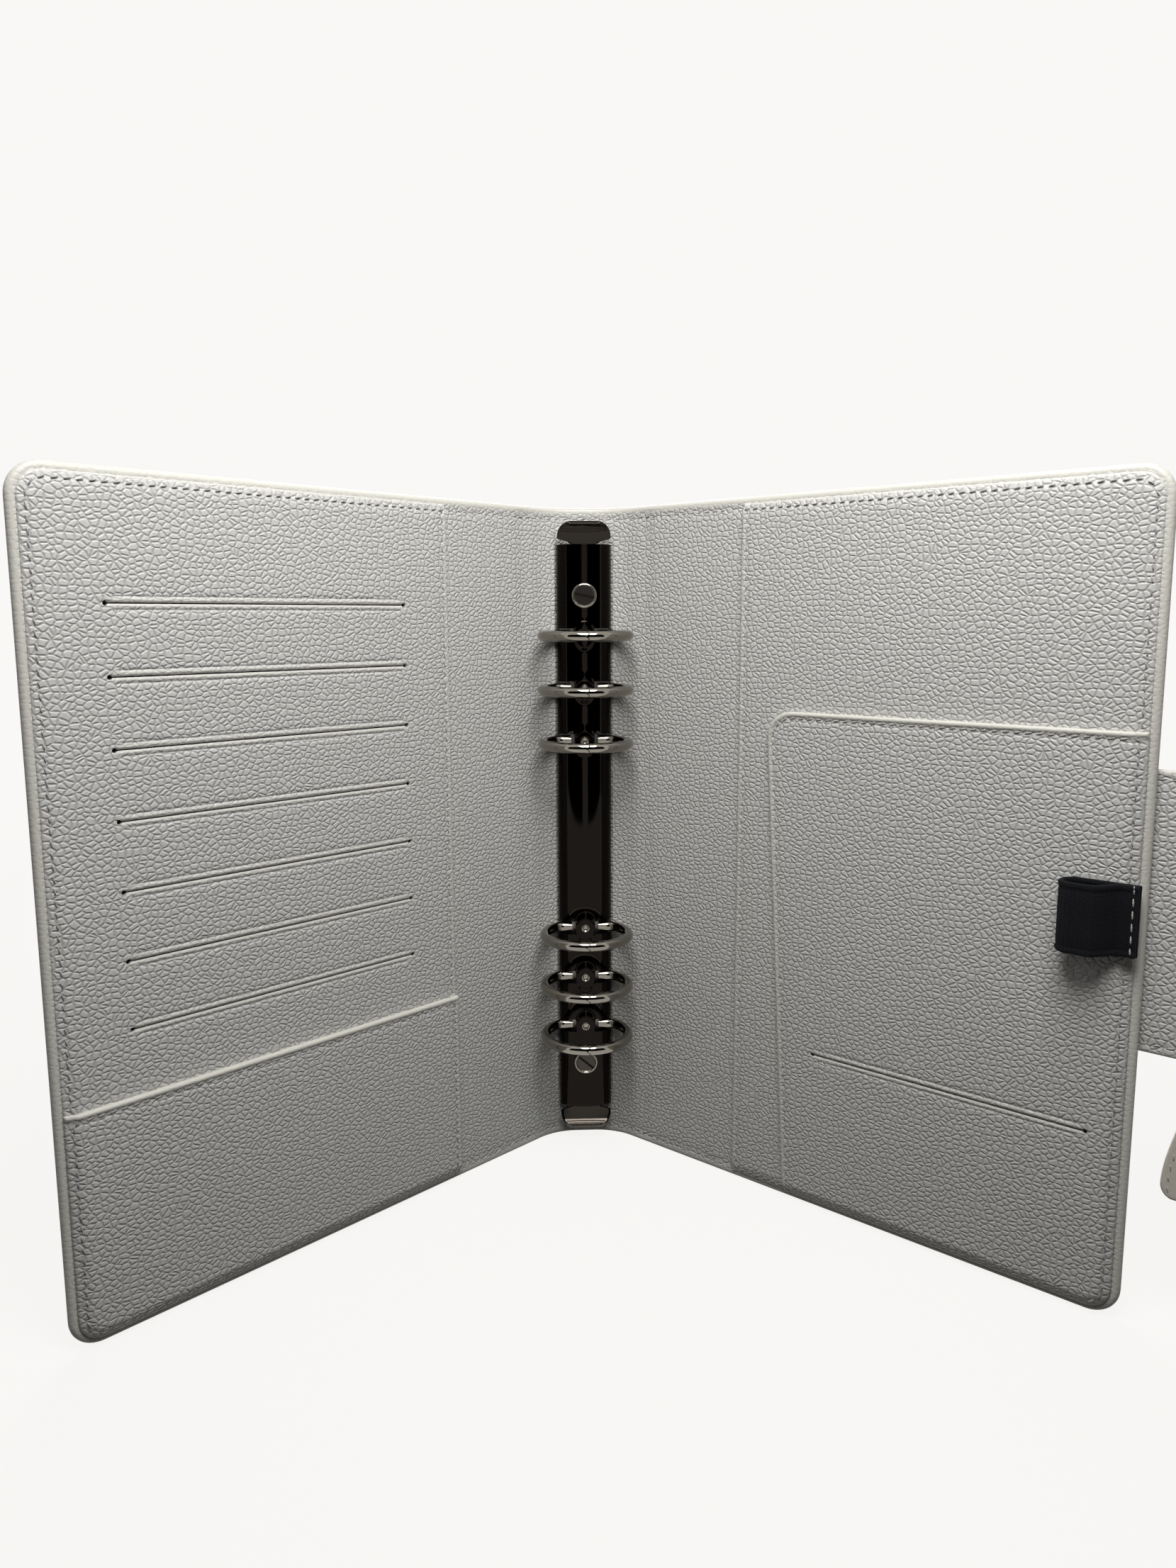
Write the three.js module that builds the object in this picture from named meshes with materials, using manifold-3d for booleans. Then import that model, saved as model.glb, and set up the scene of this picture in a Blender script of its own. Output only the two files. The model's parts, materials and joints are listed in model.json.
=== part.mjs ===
// A six ring binder for A5 pages, stood upright and half open.
// Millimetres. X runs right, Y runs away from the reader, Z runs up.
// The origin lies under the middle of the spine, on the surface that the binder stands on.

import * as THREE from 'three';
import { mergeVertices } from 'three/addons/utils/BufferGeometryUtils.js';
import Module from 'manifold-3d';

const wasm = await Module();
wasm.setup();

// Covers
const COVER_HEIGHT = 236;
const COVER_WIDTH = 170.7;
const COVER_THICKNESS = 3;
const CORNER_RADIUS = 9;
const HINGE_CORNER_RADIUS = 2;
const EDGE_ROUND = 1.4;
const OPEN_ANGLE = THREE.MathUtils.degToRad(43.5);

// Spine: a flat strip under the rail, a bend on each side and a wing out to each hinge
const SPINE_FLAT = 17.8;
const SPINE_BEND_RADIUS = 8;
const SPINE_WING = 11.3;

// Clearances
const LAYER_GAP = 0.3;
const HINGE_GAP = 0.3;
const HOLE_GAP = 0.2;
const LEVER_GAP = 0.3;

// How far a cutting tool runs past what it cuts
const CUT_OVERRUN = 1;

// How finely round shapes are divided
const CURVE_SEGMENTS = 5;
const BEVEL_SEGMENTS = 3;
const ROD_SIDES = 20;
const TURNED_SIDES = 24;
const BEND_STEPS = 6;
const CROWN_STEPS = 20;
const FLARE_STEPS = 7;
const WIRE_STEPS = 15;
const DIMPLE_SIDES = 12;
const DIMPLE_RINGS = 8;

// Sheets sewn inside the covers, measured from the hinge line and from the foot
const SHEET_THICKNESS = 1;
const SHEET_INSET = 1.6;
const CARD_PANEL_START = 35;
const CARD_SLITS = 7;
const CARD_SLIT_PITCH = 19.1;
const CARD_SLIT_LENGTH = 94.7;
const CARD_SLIT_START = 53;
const TOP_CARD_SLIT_HEIGHT = 201.3;
const SLIT_WIDTH = 0.8;
const SLIT_END_RADIUS = 1.1;
const FRONT_POCKET_HEIGHT = 68;
const BACK_PANEL_START = 40.5;
const SMALL_POCKET_TOP_START = 52;
const SMALL_POCKET_FOOT_START = 62;
const SMALL_POCKET_HEIGHT = 167;
const SMALL_POCKET_CORNER = 9;
const NOTE_SLIT_START = 72.2;
const NOTE_SLIT_END_INSET = 12.5;
const NOTE_SLIT_HEIGHT = 54.4;

// Pen loop of folded elastic
const LOOP_HEIGHT = 19.6;
const LOOP_FOOT = 107;
const LOOP_WIDTH = 19.8;
const LOOP_END_INSET = 2;
const LOOP_RISE = 8.6;
const LOOP_TAPE = 1.1;
const LOOP_TAIL = 4.5;
const LOOP_SLOPE = 6;

// Closure flap, its hanging tag and its snap
const FLAP_THICKNESS = 1.8;
const FLAP_ROUND = 0.8;
const FLAP_HEIGHT = 78;
const FLAP_CORNER_RADIUS = 12;
const FLAP_SEWN_WIDTH = 26;
const FLAP_FORE_GAP = 3;
const FLAP_TIP_LENGTH = 48;
const FLAP_CLOSED_GAP = 2;
const TAG_THICKNESS = 1.6;
const TAG_OFFSET = 13.5;
const TAG_NECK_WIDTH = 7.6;
const TAG_WIDTH = 22;
const TAG_SEWN_LENGTH = 14;
const TAG_LENGTH = 41;
const TAG_CORNER_RADIUS = 4;
const SNAP_RADIUS = 7;
const SNAP_SETBACK = 30;
const SOCKET_THICKNESS = 0.9;
const SOCKET_BORE_RADIUS = 2.6;
const SOCKET_FLOOR = 0.3;
const STUD_THICKNESS = 0.5;
const STUD_NUB_RADIUS = 2;
const STUD_NUB_LENGTH = 1;

// Rail
const RAIL_LENGTH = 210;
const RAIL_WIDTH = 20;
const RAIL_RISE = 5.8;
const RAIL_WALL = 0.8;
const RAIL_CROWN_POWER = 2.6;
const BRIDGE_WIDTH = 7.2;
const NOTCH_HEIGHT = 4.9;
const DIMPLE_RADIUS = 1.5;
const DIMPLE_DEPTH = 0.5;

// Rings: three and three, a long gap between
const RING_PITCH = 19;
const RING_MIDDLE_GAP = 70;
const RINGS_PER_GROUP = 3;
const WIRE_RADIUS = 1.8;
const RING_RADIUS = 15.2;
const RING_CENTRE_REACH = 16.2;
const RING_ROOT_BEND = 5;
const RING_ROOT_END = 4.9;
const RING_TIP_GAP = 0.3;

// Blades that carry the half rings
const BLADE_THICKNESS = 1;
const BLADE_END_GAP = 2.5;
const BLADE_SPLIT_GAP = 0.5;
const BLADE_SIDE_GAP = 0.4;
const BLADE_REST_GAP = 0.4;

// Screws and the threaded posts that they bite into
const SCREW_SPACING = 174;
const SCREW_HEAD_RADIUS = 4.5;
const SCREW_HEAD_THICKNESS = 1.3;
const SCREW_RIM_DROP = 0.4;
const SCREW_SLOT_WIDTH = 1;
const SCREW_SLOT_DEPTH = 0.6;
const SCREW_SHANK_RADIUS = 1.5;
const SCREW_SHANK_LENGTH = 4.6;
const TOP_SCREW_TURN = THREE.MathUtils.degToRad(12);
const BOTTOM_SCREW_TURN = THREE.MathUtils.degToRad(40);
const POST_RADIUS = 2.5;
const POST_CAP_RADIUS = 5;
const POST_CAP_THICKNESS = 1.2;
const POST_HEAD_GAP = 0.2;
const POST_CLEARANCE = 1.1;

// Levers at both ends of the rail
const LEVER_THICKNESS = 1.1;
const LEVER_TONGUE_WIDTH = 6;
const LEVER_NECK_WIDTH = 11;
const LEVER_TAB_WIDTH = 19;
const LEVER_TAB_CORNER = 5;
const LEVER_SHOULDER_RADIUS = 1.6;
const LEVER_TONGUE_LENGTH = 6;
const LEVER_TONGUE_LEVEL = 3;
const LEVER_NECK_LEVEL = 5.1;
const LEVER_NECK_LENGTH = 1.5;
const LEVER_FLARE_RADIUS = 9;
const LEVER_FLARE_ANGLE = THREE.MathUtils.degToRad(56);

// Places that follow from the sizes above
const MIDDLE = COVER_HEIGHT / 2;
const HALF_COVER = COVER_THICKNESS / 2;
const BEND_END_X = SPINE_FLAT / 2 + SPINE_BEND_RADIUS * Math.sin(OPEN_ANGLE);
const BEND_END_Y = -SPINE_BEND_RADIUS * (1 - Math.cos(OPEN_ANGLE));
const HINGE_X = BEND_END_X + SPINE_WING * Math.cos(OPEN_ANGLE);
const HINGE_Y = BEND_END_Y - SPINE_WING * Math.sin(OPEN_ANGLE);
const LINING_Y = -HALF_COVER;
const RAIL_FOOT_Y = LINING_Y - LAYER_GAP;
const RAIL_TOP_Y = RAIL_FOOT_Y - RAIL_RISE;
const BLADE_BACK_Y = LINING_Y - BLADE_REST_GAP;
const BLADE_FRONT_Y = BLADE_BACK_Y - BLADE_THICKNESS;
const ROOT_Y = BLADE_FRONT_Y - WIRE_RADIUS;
const FIRST_SHEET = HALF_COVER + LAYER_GAP;
const SECOND_SHEET = FIRST_SHEET + SHEET_THICKNESS + LAYER_GAP;
const LOOP_SEAT = SECOND_SHEET + SHEET_THICKNESS + LAYER_GAP;
const FLAP_MIDDLE = HALF_COVER + LAYER_GAP + FLAP_THICKNESS / 2;
const FLAP_AXIS_X = COVER_WIDTH + FLAP_FORE_GAP;
const CLOSED_SPAN = 2 * HINGE_X + HALF_COVER + FLAP_CLOSED_GAP + FLAP_THICKNESS / 2;
const FLAP_BRIDGE_LENGTH = CLOSED_SPAN + FLAP_MIDDLE;
const FLAP_FOOT = MIDDLE - FLAP_HEIGHT / 2;
const RAIL_END = RAIL_LENGTH / 2;
const BLADE_LENGTH = RAIL_LENGTH - 2 * (LEVER_TONGUE_LENGTH + BLADE_END_GAP);
const NOTE_SLIT_LENGTH = COVER_WIDTH - NOTE_SLIT_END_INSET - NOTE_SLIT_START;

// Finishes
const leather = finish(0xc9c7c2, 0.62, 0);
const edgeLeather = finish(0xd8d2c4, 0.5, 0);
const elastic = finish(0x14151a, 0.85, 0);
const nickel = finish(0xb9b4ac, 0.14, 1);
const blackNickel = finish(0x55514d, 0.12, 1);
const springSteel = finish(0x8e8c88, 0.3, 1);

function finish(colour, roughness, metalness) {
  return new THREE.MeshStandardMaterial({ color: colour, roughness, metalness });
}

function named(name, geometry, material) {
  const mesh = new THREE.Mesh(geometry, material);
  mesh.name = name;
  return mesh;
}

function toSolid(geometry) {
  const bare = geometry.clone();
  bare.deleteAttribute('normal');
  bare.deleteAttribute('uv');
  const merged = mergeVertices(bare, 1e-4);
  return new wasm.Manifold(new wasm.Mesh({
    numProp: 3,
    vertProperties: merged.attributes.position.array,
    triVerts: merged.index.array,
  }));
}

function toGeometry(solid) {
  const mesh = solid.getMesh();
  const geometry = new THREE.BufferGeometry();
  geometry.setAttribute('position', new THREE.BufferAttribute(mesh.vertProperties, 3));
  geometry.setIndex(new THREE.BufferAttribute(mesh.triVerts, 1));
  geometry.computeVertexNormals();
  return geometry;
}

function cut(geometry, tools) {
  let solid = toSolid(geometry);
  for (const tool of tools) {
    solid = solid.subtract(toSolid(tool));
  }
  return toGeometry(solid);
}

// A plate whose outline is drawn in x and z, filling y from low to high, its edges rounded.
function plate(outline, low, high, round = 0) {
  const geometry = new THREE.ExtrudeGeometry(outline, {
    depth: high - low - 2 * round,
    bevelEnabled: round > 0,
    bevelThickness: round,
    bevelSize: round,
    bevelOffset: -round,
    bevelSegments: BEVEL_SEGMENTS,
    curveSegments: CURVE_SEGMENTS,
  });
  geometry.rotateX(Math.PI / 2);
  geometry.translate(0, high - round, 0);
  return geometry;
}

// A bar whose section is drawn in x and y, filling z from low to high.
function bar(section, low, high) {
  const geometry = new THREE.ExtrudeGeometry(section, {
    depth: high - low,
    bevelEnabled: false,
    curveSegments: CURVE_SEGMENTS,
  });
  geometry.translate(0, 0, low);
  return geometry;
}

// A rod along y between two places, at a point in x and z.
function rod(radius, low, high, x, z) {
  const geometry = new THREE.CylinderGeometry(radius, radius, high - low, ROD_SIDES);
  geometry.translate(x, (low + high) / 2, z);
  return geometry;
}

// A turned piece whose axis runs along y: points give radius and place along the axis.
function turned(points) {
  const profile = points.map(([radius, y]) => new THREE.Vector2(radius, y));
  return new THREE.LatheGeometry(profile, TURNED_SIDES);
}

function roundedOutline(left, right, foot, head, radii) {
  const [footLeft, footRight, headRight, headLeft] = radii;
  const outline = new THREE.Shape();
  outline.moveTo(left + footLeft, foot);
  outline.lineTo(right - footRight, foot);
  if (footRight > 0) outline.absarc(right - footRight, foot + footRight, footRight, -Math.PI / 2, 0);
  outline.lineTo(right, head - headRight);
  if (headRight > 0) outline.absarc(right - headRight, head - headRight, headRight, 0, Math.PI / 2);
  outline.lineTo(left + headLeft, head);
  if (headLeft > 0) outline.absarc(left + headLeft, head - headLeft, headLeft, Math.PI / 2, Math.PI);
  outline.lineTo(left, foot + footLeft);
  if (footLeft > 0) outline.absarc(left + footLeft, foot + footLeft, footLeft, Math.PI, 1.5 * Math.PI);
  return outline;
}

// A level slit with a punched hole at each end.
function slit(start, length, height) {
  const half = SLIT_WIDTH / 2;
  const turn = Math.asin(half / SLIT_END_RADIUS);
  const reach = SLIT_END_RADIUS * Math.cos(turn);
  const end = start + length;
  const path = new THREE.Path();
  path.moveTo(start + reach, height + half);
  path.lineTo(end - reach, height + half);
  path.absarc(end, height, SLIT_END_RADIUS, Math.PI - turn, turn - Math.PI, true);
  path.lineTo(start + reach, height - half);
  path.absarc(start, height, SLIT_END_RADIUS, -turn, turn - 2 * Math.PI, true);
  return path;
}

// A strip of even thickness along a middle line drawn in a plane.
function strip(middleLine, thickness) {
  const left = [];
  const right = [];
  middleLine.forEach((point, index) => {
    const before = middleLine[Math.max(index - 1, 0)];
    const after = middleLine[Math.min(index + 1, middleLine.length - 1)];
    const along = after.clone().sub(before).normalize();
    const across = new THREE.Vector2(-along.y, along.x).multiplyScalar(thickness / 2);
    left.push(point.clone().add(across));
    right.push(point.clone().sub(across));
  });
  return new THREE.Shape([...right, ...left.reverse()]);
}

// Spine

function spineMiddleLine() {
  const wingEnd = SPINE_WING - EDGE_ROUND - HINGE_GAP;
  const side = [];
  for (let step = 0; step <= BEND_STEPS; step += 1) {
    const angle = (OPEN_ANGLE * step) / BEND_STEPS;
    const x = SPINE_FLAT / 2 + SPINE_BEND_RADIUS * Math.sin(angle);
    const y = -SPINE_BEND_RADIUS * (1 - Math.cos(angle));
    side.push(new THREE.Vector2(x, y));
  }
  const wingX = BEND_END_X + wingEnd * Math.cos(OPEN_ANGLE);
  const wingY = BEND_END_Y - wingEnd * Math.sin(OPEN_ANGLE);
  side.push(new THREE.Vector2(wingX, wingY));
  const mirrored = side.map((point) => new THREE.Vector2(-point.x, point.y)).reverse();
  return [...mirrored, ...side];
}

function screwHeights() {
  return [MIDDLE + SCREW_SPACING / 2, MIDDLE - SCREW_SPACING / 2];
}

function spineShell() {
  const body = bar(strip(spineMiddleLine(), COVER_THICKNESS), 0, COVER_HEIGHT);
  const holes = screwHeights().map((height) => (
    rod(POST_RADIUS + HOLE_GAP, -COVER_THICKNESS, COVER_THICKNESS, 0, height)
  ));
  return named('spine_shell', cut(body, holes), leather);
}

// Covers. In a cover's own frame x runs from the hinge to the fore edge, and inner is the
// sign of y on the side that faces the pages.

function coverOutline() {
  const corners = [HINGE_CORNER_RADIUS, CORNER_RADIUS, CORNER_RADIUS, HINGE_CORNER_RADIUS];
  return roundedOutline(-EDGE_ROUND, COVER_WIDTH, 0, COVER_HEIGHT, corners);
}

function coverShell(name) {
  return named(name, plate(coverOutline(), -HALF_COVER, HALF_COVER, EDGE_ROUND), leather);
}

function sheet(name, outline, inner, level, material = leather) {
  const low = inner > 0 ? level : -level - SHEET_THICKNESS;
  return named(name, plate(outline, low, low + SHEET_THICKNESS), material);
}

function sheetOutline(start, head) {
  const corner = CORNER_RADIUS - SHEET_INSET;
  const headCorner = head > COVER_HEIGHT - CORNER_RADIUS ? corner : 0;
  return roundedOutline(start, COVER_WIDTH - SHEET_INSET, SHEET_INSET, head, [0, corner, headCorner, 0]);
}

function cardSlotPanel() {
  const outline = sheetOutline(CARD_PANEL_START, COVER_HEIGHT - SHEET_INSET);
  for (let index = 0; index < CARD_SLITS; index += 1) {
    const height = TOP_CARD_SLIT_HEIGHT - index * CARD_SLIT_PITCH;
    outline.holes.push(slit(CARD_SLIT_START, CARD_SLIT_LENGTH, height));
  }
  return sheet('card_slot_panel', outline, 1, FIRST_SHEET);
}

function smallPocketOutline() {
  const lean = Math.atan2(SMALL_POCKET_FOOT_START - SMALL_POCKET_TOP_START, SMALL_POCKET_HEIGHT);
  const corner = SMALL_POCKET_CORNER;
  const right = COVER_WIDTH - SHEET_INSET;
  const footCorner = CORNER_RADIUS - SHEET_INSET;
  const centreX = SMALL_POCKET_TOP_START + corner;
  const centreZ = SMALL_POCKET_HEIGHT - corner;
  const outline = new THREE.Shape();
  outline.moveTo(SMALL_POCKET_FOOT_START, SHEET_INSET);
  outline.lineTo(right - footCorner, SHEET_INSET);
  outline.absarc(right - footCorner, SHEET_INSET + footCorner, footCorner, -Math.PI / 2, 0);
  outline.lineTo(right, SMALL_POCKET_HEIGHT);
  outline.lineTo(centreX, SMALL_POCKET_HEIGHT);
  outline.absarc(centreX, centreZ, corner, Math.PI / 2, Math.PI + lean);
  outline.holes.push(slit(NOTE_SLIT_START, NOTE_SLIT_LENGTH, NOTE_SLIT_HEIGHT));
  return outline;
}

// A band of elastic folded into a loop, its two ends sewn down together near the fore edge.
function penLoop() {
  const end = COVER_WIDTH - LOOP_END_INSET;
  const start = end - LOOP_WIDTH;
  const tailStart = end - LOOP_TAIL;
  const slopeStart = tailStart - LOOP_SLOPE;
  const outerRadius = LOOP_RISE / 2;
  const innerRadius = outerRadius - LOOP_TAPE;
  const centreX = start + outerRadius;
  const tailRise = 2 * LOOP_TAPE;
  const half = LOOP_SLOPE / 2;
  const section = new THREE.Shape();
  section.moveTo(end, 0);
  section.lineTo(end, tailRise);
  section.lineTo(tailStart, tailRise);
  section.bezierCurveTo(tailStart - half, tailRise, slopeStart + half, LOOP_RISE, slopeStart, LOOP_RISE);
  section.lineTo(centreX, LOOP_RISE);
  section.absarc(centreX, outerRadius, outerRadius, Math.PI / 2, 1.5 * Math.PI);
  const hole = new THREE.Path();
  hole.moveTo(centreX, LOOP_TAPE);
  hole.absarc(centreX, outerRadius, innerRadius, 1.5 * Math.PI, Math.PI / 2, true);
  hole.lineTo(slopeStart - LOOP_TAPE, LOOP_RISE - LOOP_TAPE);
  hole.lineTo(tailStart - LOOP_TAPE, LOOP_TAPE);
  section.holes.push(hole);
  const geometry = bar(section, LOOP_FOOT, LOOP_FOOT + LOOP_HEIGHT);
  geometry.rotateX(Math.PI);
  geometry.translate(0, -LOOP_SEAT, 2 * LOOP_FOOT + LOOP_HEIGHT);
  return named('pen_loop', geometry, elastic);
}

// Press fastener

function snapSocket() {
  const bore = SOCKET_BORE_RADIUS;
  const geometry = turned([
    [0, 0],
    [SNAP_RADIUS, 0],
    [SNAP_RADIUS, SOCKET_THICKNESS],
    [bore, SOCKET_THICKNESS],
    [bore, SOCKET_FLOOR],
    [0, SOCKET_FLOOR],
  ]);
  geometry.rotateX(Math.PI);
  geometry.translate(FLAP_AXIS_X - SNAP_SETBACK, -HALF_COVER, MIDDLE);
  return named('snap_socket', geometry, nickel);
}

function snapStud() {
  const geometry = turned([
    [0, 0],
    [SNAP_RADIUS, 0],
    [SNAP_RADIUS, STUD_THICKNESS],
    [STUD_NUB_RADIUS, STUD_THICKNESS],
    [STUD_NUB_RADIUS, STUD_THICKNESS + STUD_NUB_LENGTH],
    [0, STUD_THICKNESS + STUD_NUB_LENGTH],
  ]);
  geometry.rotateX(Math.PI);
  geometry.translate(SNAP_SETBACK, -FLAP_THICKNESS / 2, MIDDLE);
  return named('snap_stud', geometry, nickel);
}

// Closure flap in three lengths: the part sewn to the back cover, the bridge across the
// fore edge and the tip that presses onto the front cover.

function flapLength(name, start, end, corner) {
  const head = FLAP_FOOT + FLAP_HEIGHT;
  const outline = roundedOutline(start, end, FLAP_FOOT, head, [0, corner, corner, 0]);
  const half = FLAP_THICKNESS / 2;
  return named(name, plate(outline, -half, half, FLAP_ROUND), leather);
}

function pullTag() {
  const half = TAG_WIDTH / 2;
  const neck = TAG_NECK_WIDTH / 2;
  const foot = FLAP_FOOT - TAG_LENGTH;
  const corner = TAG_CORNER_RADIUS;
  const outline = new THREE.Shape();
  outline.moveTo(-half + corner, foot);
  outline.lineTo(half - corner, foot);
  outline.absarc(half - corner, foot + corner, corner, -Math.PI / 2, 0);
  outline.lineTo(neck, FLAP_FOOT);
  outline.lineTo(neck, FLAP_FOOT + TAG_SEWN_LENGTH);
  outline.lineTo(-neck, FLAP_FOOT + TAG_SEWN_LENGTH);
  outline.lineTo(-neck, FLAP_FOOT);
  outline.lineTo(-half, foot + corner);
  outline.absarc(-half + corner, foot + corner, corner, Math.PI, 1.5 * Math.PI);
  const low = FLAP_THICKNESS / 2 + LAYER_GAP;
  const geometry = plate(outline, low, low + TAG_THICKNESS);
  geometry.translate(TAG_OFFSET, 0, 0);
  return named('pull_tag', geometry, edgeLeather);
}

// Rail and ring mechanism

function crown(halfWidth, rise) {
  const points = [];
  for (let step = 0; step <= CROWN_STEPS; step += 1) {
    const share = -Math.cos((Math.PI * step) / CROWN_STEPS);
    const x = halfWidth * share;
    const lift = rise * Math.sqrt(Math.max(0, 1 - Math.abs(share) ** RAIL_CROWN_POWER));
    points.push(new THREE.Vector2(x, RAIL_FOOT_Y - lift));
  }
  return points;
}

function ringHeights() {
  const heights = [];
  for (let index = 0; index < RINGS_PER_GROUP; index += 1) {
    heights.push(RING_MIDDLE_GAP / 2 + index * RING_PITCH);
  }
  const upper = heights.map((offset) => MIDDLE + offset).reverse();
  const lower = heights.map((offset) => MIDDLE - offset);
  return [...upper, ...lower];
}

function ringRail() {
  const outer = crown(RAIL_WIDTH / 2, RAIL_RISE);
  const inner = crown(RAIL_WIDTH / 2 - RAIL_WALL, RAIL_RISE - RAIL_WALL).reverse();
  const body = bar(new THREE.Shape([...outer, ...inner]), MIDDLE - RAIL_END, MIDDLE + RAIL_END);
  const tools = screwHeights().map((height) => (
    rod(SCREW_SHANK_RADIUS + HOLE_GAP, RAIL_TOP_Y - CUT_OVERRUN, LINING_Y, 0, height)
  ));
  const notchWidth = (RAIL_WIDTH - BRIDGE_WIDTH) / 2 + CUT_OVERRUN;
  const notchReach = RAIL_RISE + 2 * CUT_OVERRUN;
  const notchY = RAIL_FOOT_Y - RAIL_RISE / 2;
  for (const height of ringHeights()) {
    for (const side of [-1, 1]) {
      const notch = new THREE.BoxGeometry(notchWidth, notchReach, NOTCH_HEIGHT);
      notch.translate(side * (BRIDGE_WIDTH + notchWidth) / 2, notchY, height);
      tools.push(notch);
    }
    const dimple = new THREE.SphereGeometry(DIMPLE_RADIUS, DIMPLE_SIDES, DIMPLE_RINGS);
    dimple.translate(0, RAIL_TOP_Y - DIMPLE_RADIUS + DIMPLE_DEPTH, height);
    tools.push(dimple);
  }
  return named('ring_rail', cut(body, tools), blackNickel);
}

// The middle line of one half ring, in a level plane: a round arc from the tip to the root
// bend, the bend, and a straight foot that lies on its blade under the rail.
class HalfRingLine extends THREE.Curve {
  constructor(side, height) {
    super();
    this.side = side;
    this.height = height;
    const bendReach = RING_RADIUS - RING_ROOT_BEND;
    this.tipAngle = -Math.PI / 2 + Math.asin(RING_TIP_GAP / 2 / (RING_RADIUS - WIRE_RADIUS));
    this.bendAngle = Math.asin((RING_CENTRE_REACH + ROOT_Y - RING_ROOT_BEND) / bendReach);
    this.bendX = bendReach * Math.cos(this.bendAngle);
    this.arcLength = RING_RADIUS * (this.bendAngle - this.tipAngle);
    this.bendLength = RING_ROOT_BEND * (Math.PI / 2 - this.bendAngle);
    this.footLength = this.bendX - RING_ROOT_END;
  }

  getPoint(share, target = new THREE.Vector3()) {
    const run = share * (this.arcLength + this.bendLength + this.footLength);
    if (run < this.arcLength) {
      const angle = this.tipAngle + run / RING_RADIUS;
      const y = -RING_CENTRE_REACH + RING_RADIUS * Math.sin(angle);
      return target.set(this.side * RING_RADIUS * Math.cos(angle), y, this.height);
    }
    const past = run - this.arcLength;
    if (past < this.bendLength) {
      const angle = this.bendAngle + past / RING_ROOT_BEND;
      const x = this.bendX + RING_ROOT_BEND * Math.cos(angle);
      return target.set(this.side * x, ROOT_Y - RING_ROOT_BEND * (1 - Math.sin(angle)), this.height);
    }
    return target.set(this.side * (this.bendX - (past - this.bendLength)), ROOT_Y, this.height);
  }
}

function halfRing(name, side, height) {
  const wire = new THREE.Shape();
  wire.absarc(0, 0, WIRE_RADIUS, 0, 2 * Math.PI);
  const geometry = new THREE.ExtrudeGeometry(wire, {
    steps: WIRE_STEPS,
    curveSegments: CURVE_SEGMENTS,
    extrudePath: new HalfRingLine(side, height),
  });
  return named(name, geometry, nickel);
}

function blade(name, side) {
  const near = side * (BLADE_SPLIT_GAP / 2);
  const far = side * (RAIL_WIDTH / 2 - RAIL_WALL - BLADE_SIDE_GAP);
  const low = MIDDLE - BLADE_LENGTH / 2;
  const [left, right] = [Math.min(near, far), Math.max(near, far)];
  const outline = roundedOutline(left, right, low, low + BLADE_LENGTH, [0, 0, 0, 0]);
  const body = plate(outline, BLADE_FRONT_Y, BLADE_BACK_Y);
  const [before, behind] = [BLADE_FRONT_Y - CUT_OVERRUN, BLADE_BACK_Y + CUT_OVERRUN];
  const clearances = screwHeights().map((height) => (
    rod(POST_RADIUS + POST_CLEARANCE, before, behind, 0, height)
  ));
  return named(name, cut(body, clearances), springSteel);
}

function ringSet(side, sideName) {
  const set = new THREE.Group();
  set.add(blade(`${sideName}_blade`, side));
  ringHeights().forEach((height, index) => {
    set.add(halfRing(`${sideName}_half_ring_${index + 1}`, side, height));
  });
  return set;
}

function screw(name, height, turn) {
  const under = RAIL_TOP_Y;
  const face = under - SCREW_HEAD_THICKNESS;
  const rim = SCREW_HEAD_RADIUS - SCREW_RIM_DROP;
  const body = turned([
    [0, face],
    [rim, face],
    [SCREW_HEAD_RADIUS, face + SCREW_RIM_DROP],
    [SCREW_HEAD_RADIUS, under],
    [SCREW_SHANK_RADIUS, under],
    [SCREW_SHANK_RADIUS, under + SCREW_SHANK_LENGTH],
    [0, under + SCREW_SHANK_LENGTH],
  ]);
  const slotLength = 2 * (SCREW_HEAD_RADIUS + CUT_OVERRUN);
  const slot = new THREE.BoxGeometry(slotLength, 2 * SCREW_SLOT_DEPTH, SCREW_SLOT_WIDTH);
  slot.rotateY(turn);
  slot.translate(0, face, 0);
  const geometry = cut(body, [slot]);
  geometry.translate(0, 0, height);
  return named(name, geometry, nickel);
}

function post(name, height) {
  const head = RAIL_TOP_Y + RAIL_WALL + POST_HEAD_GAP;
  const bore = SCREW_SHANK_RADIUS + HOLE_GAP;
  const boreEnd = RAIL_TOP_Y + SCREW_SHANK_LENGTH + HOLE_GAP;
  const geometry = turned([
    [bore, head],
    [POST_RADIUS, head],
    [POST_RADIUS, HALF_COVER],
    [POST_CAP_RADIUS, HALF_COVER],
    [POST_CAP_RADIUS, HALF_COVER + POST_CAP_THICKNESS],
    [0, HALF_COVER + POST_CAP_THICKNESS],
    [0, boreEnd],
    [bore, boreEnd],
    [bore, head],
  ]);
  geometry.translate(0, 0, height);
  return named(name, geometry, nickel);
}

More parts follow.
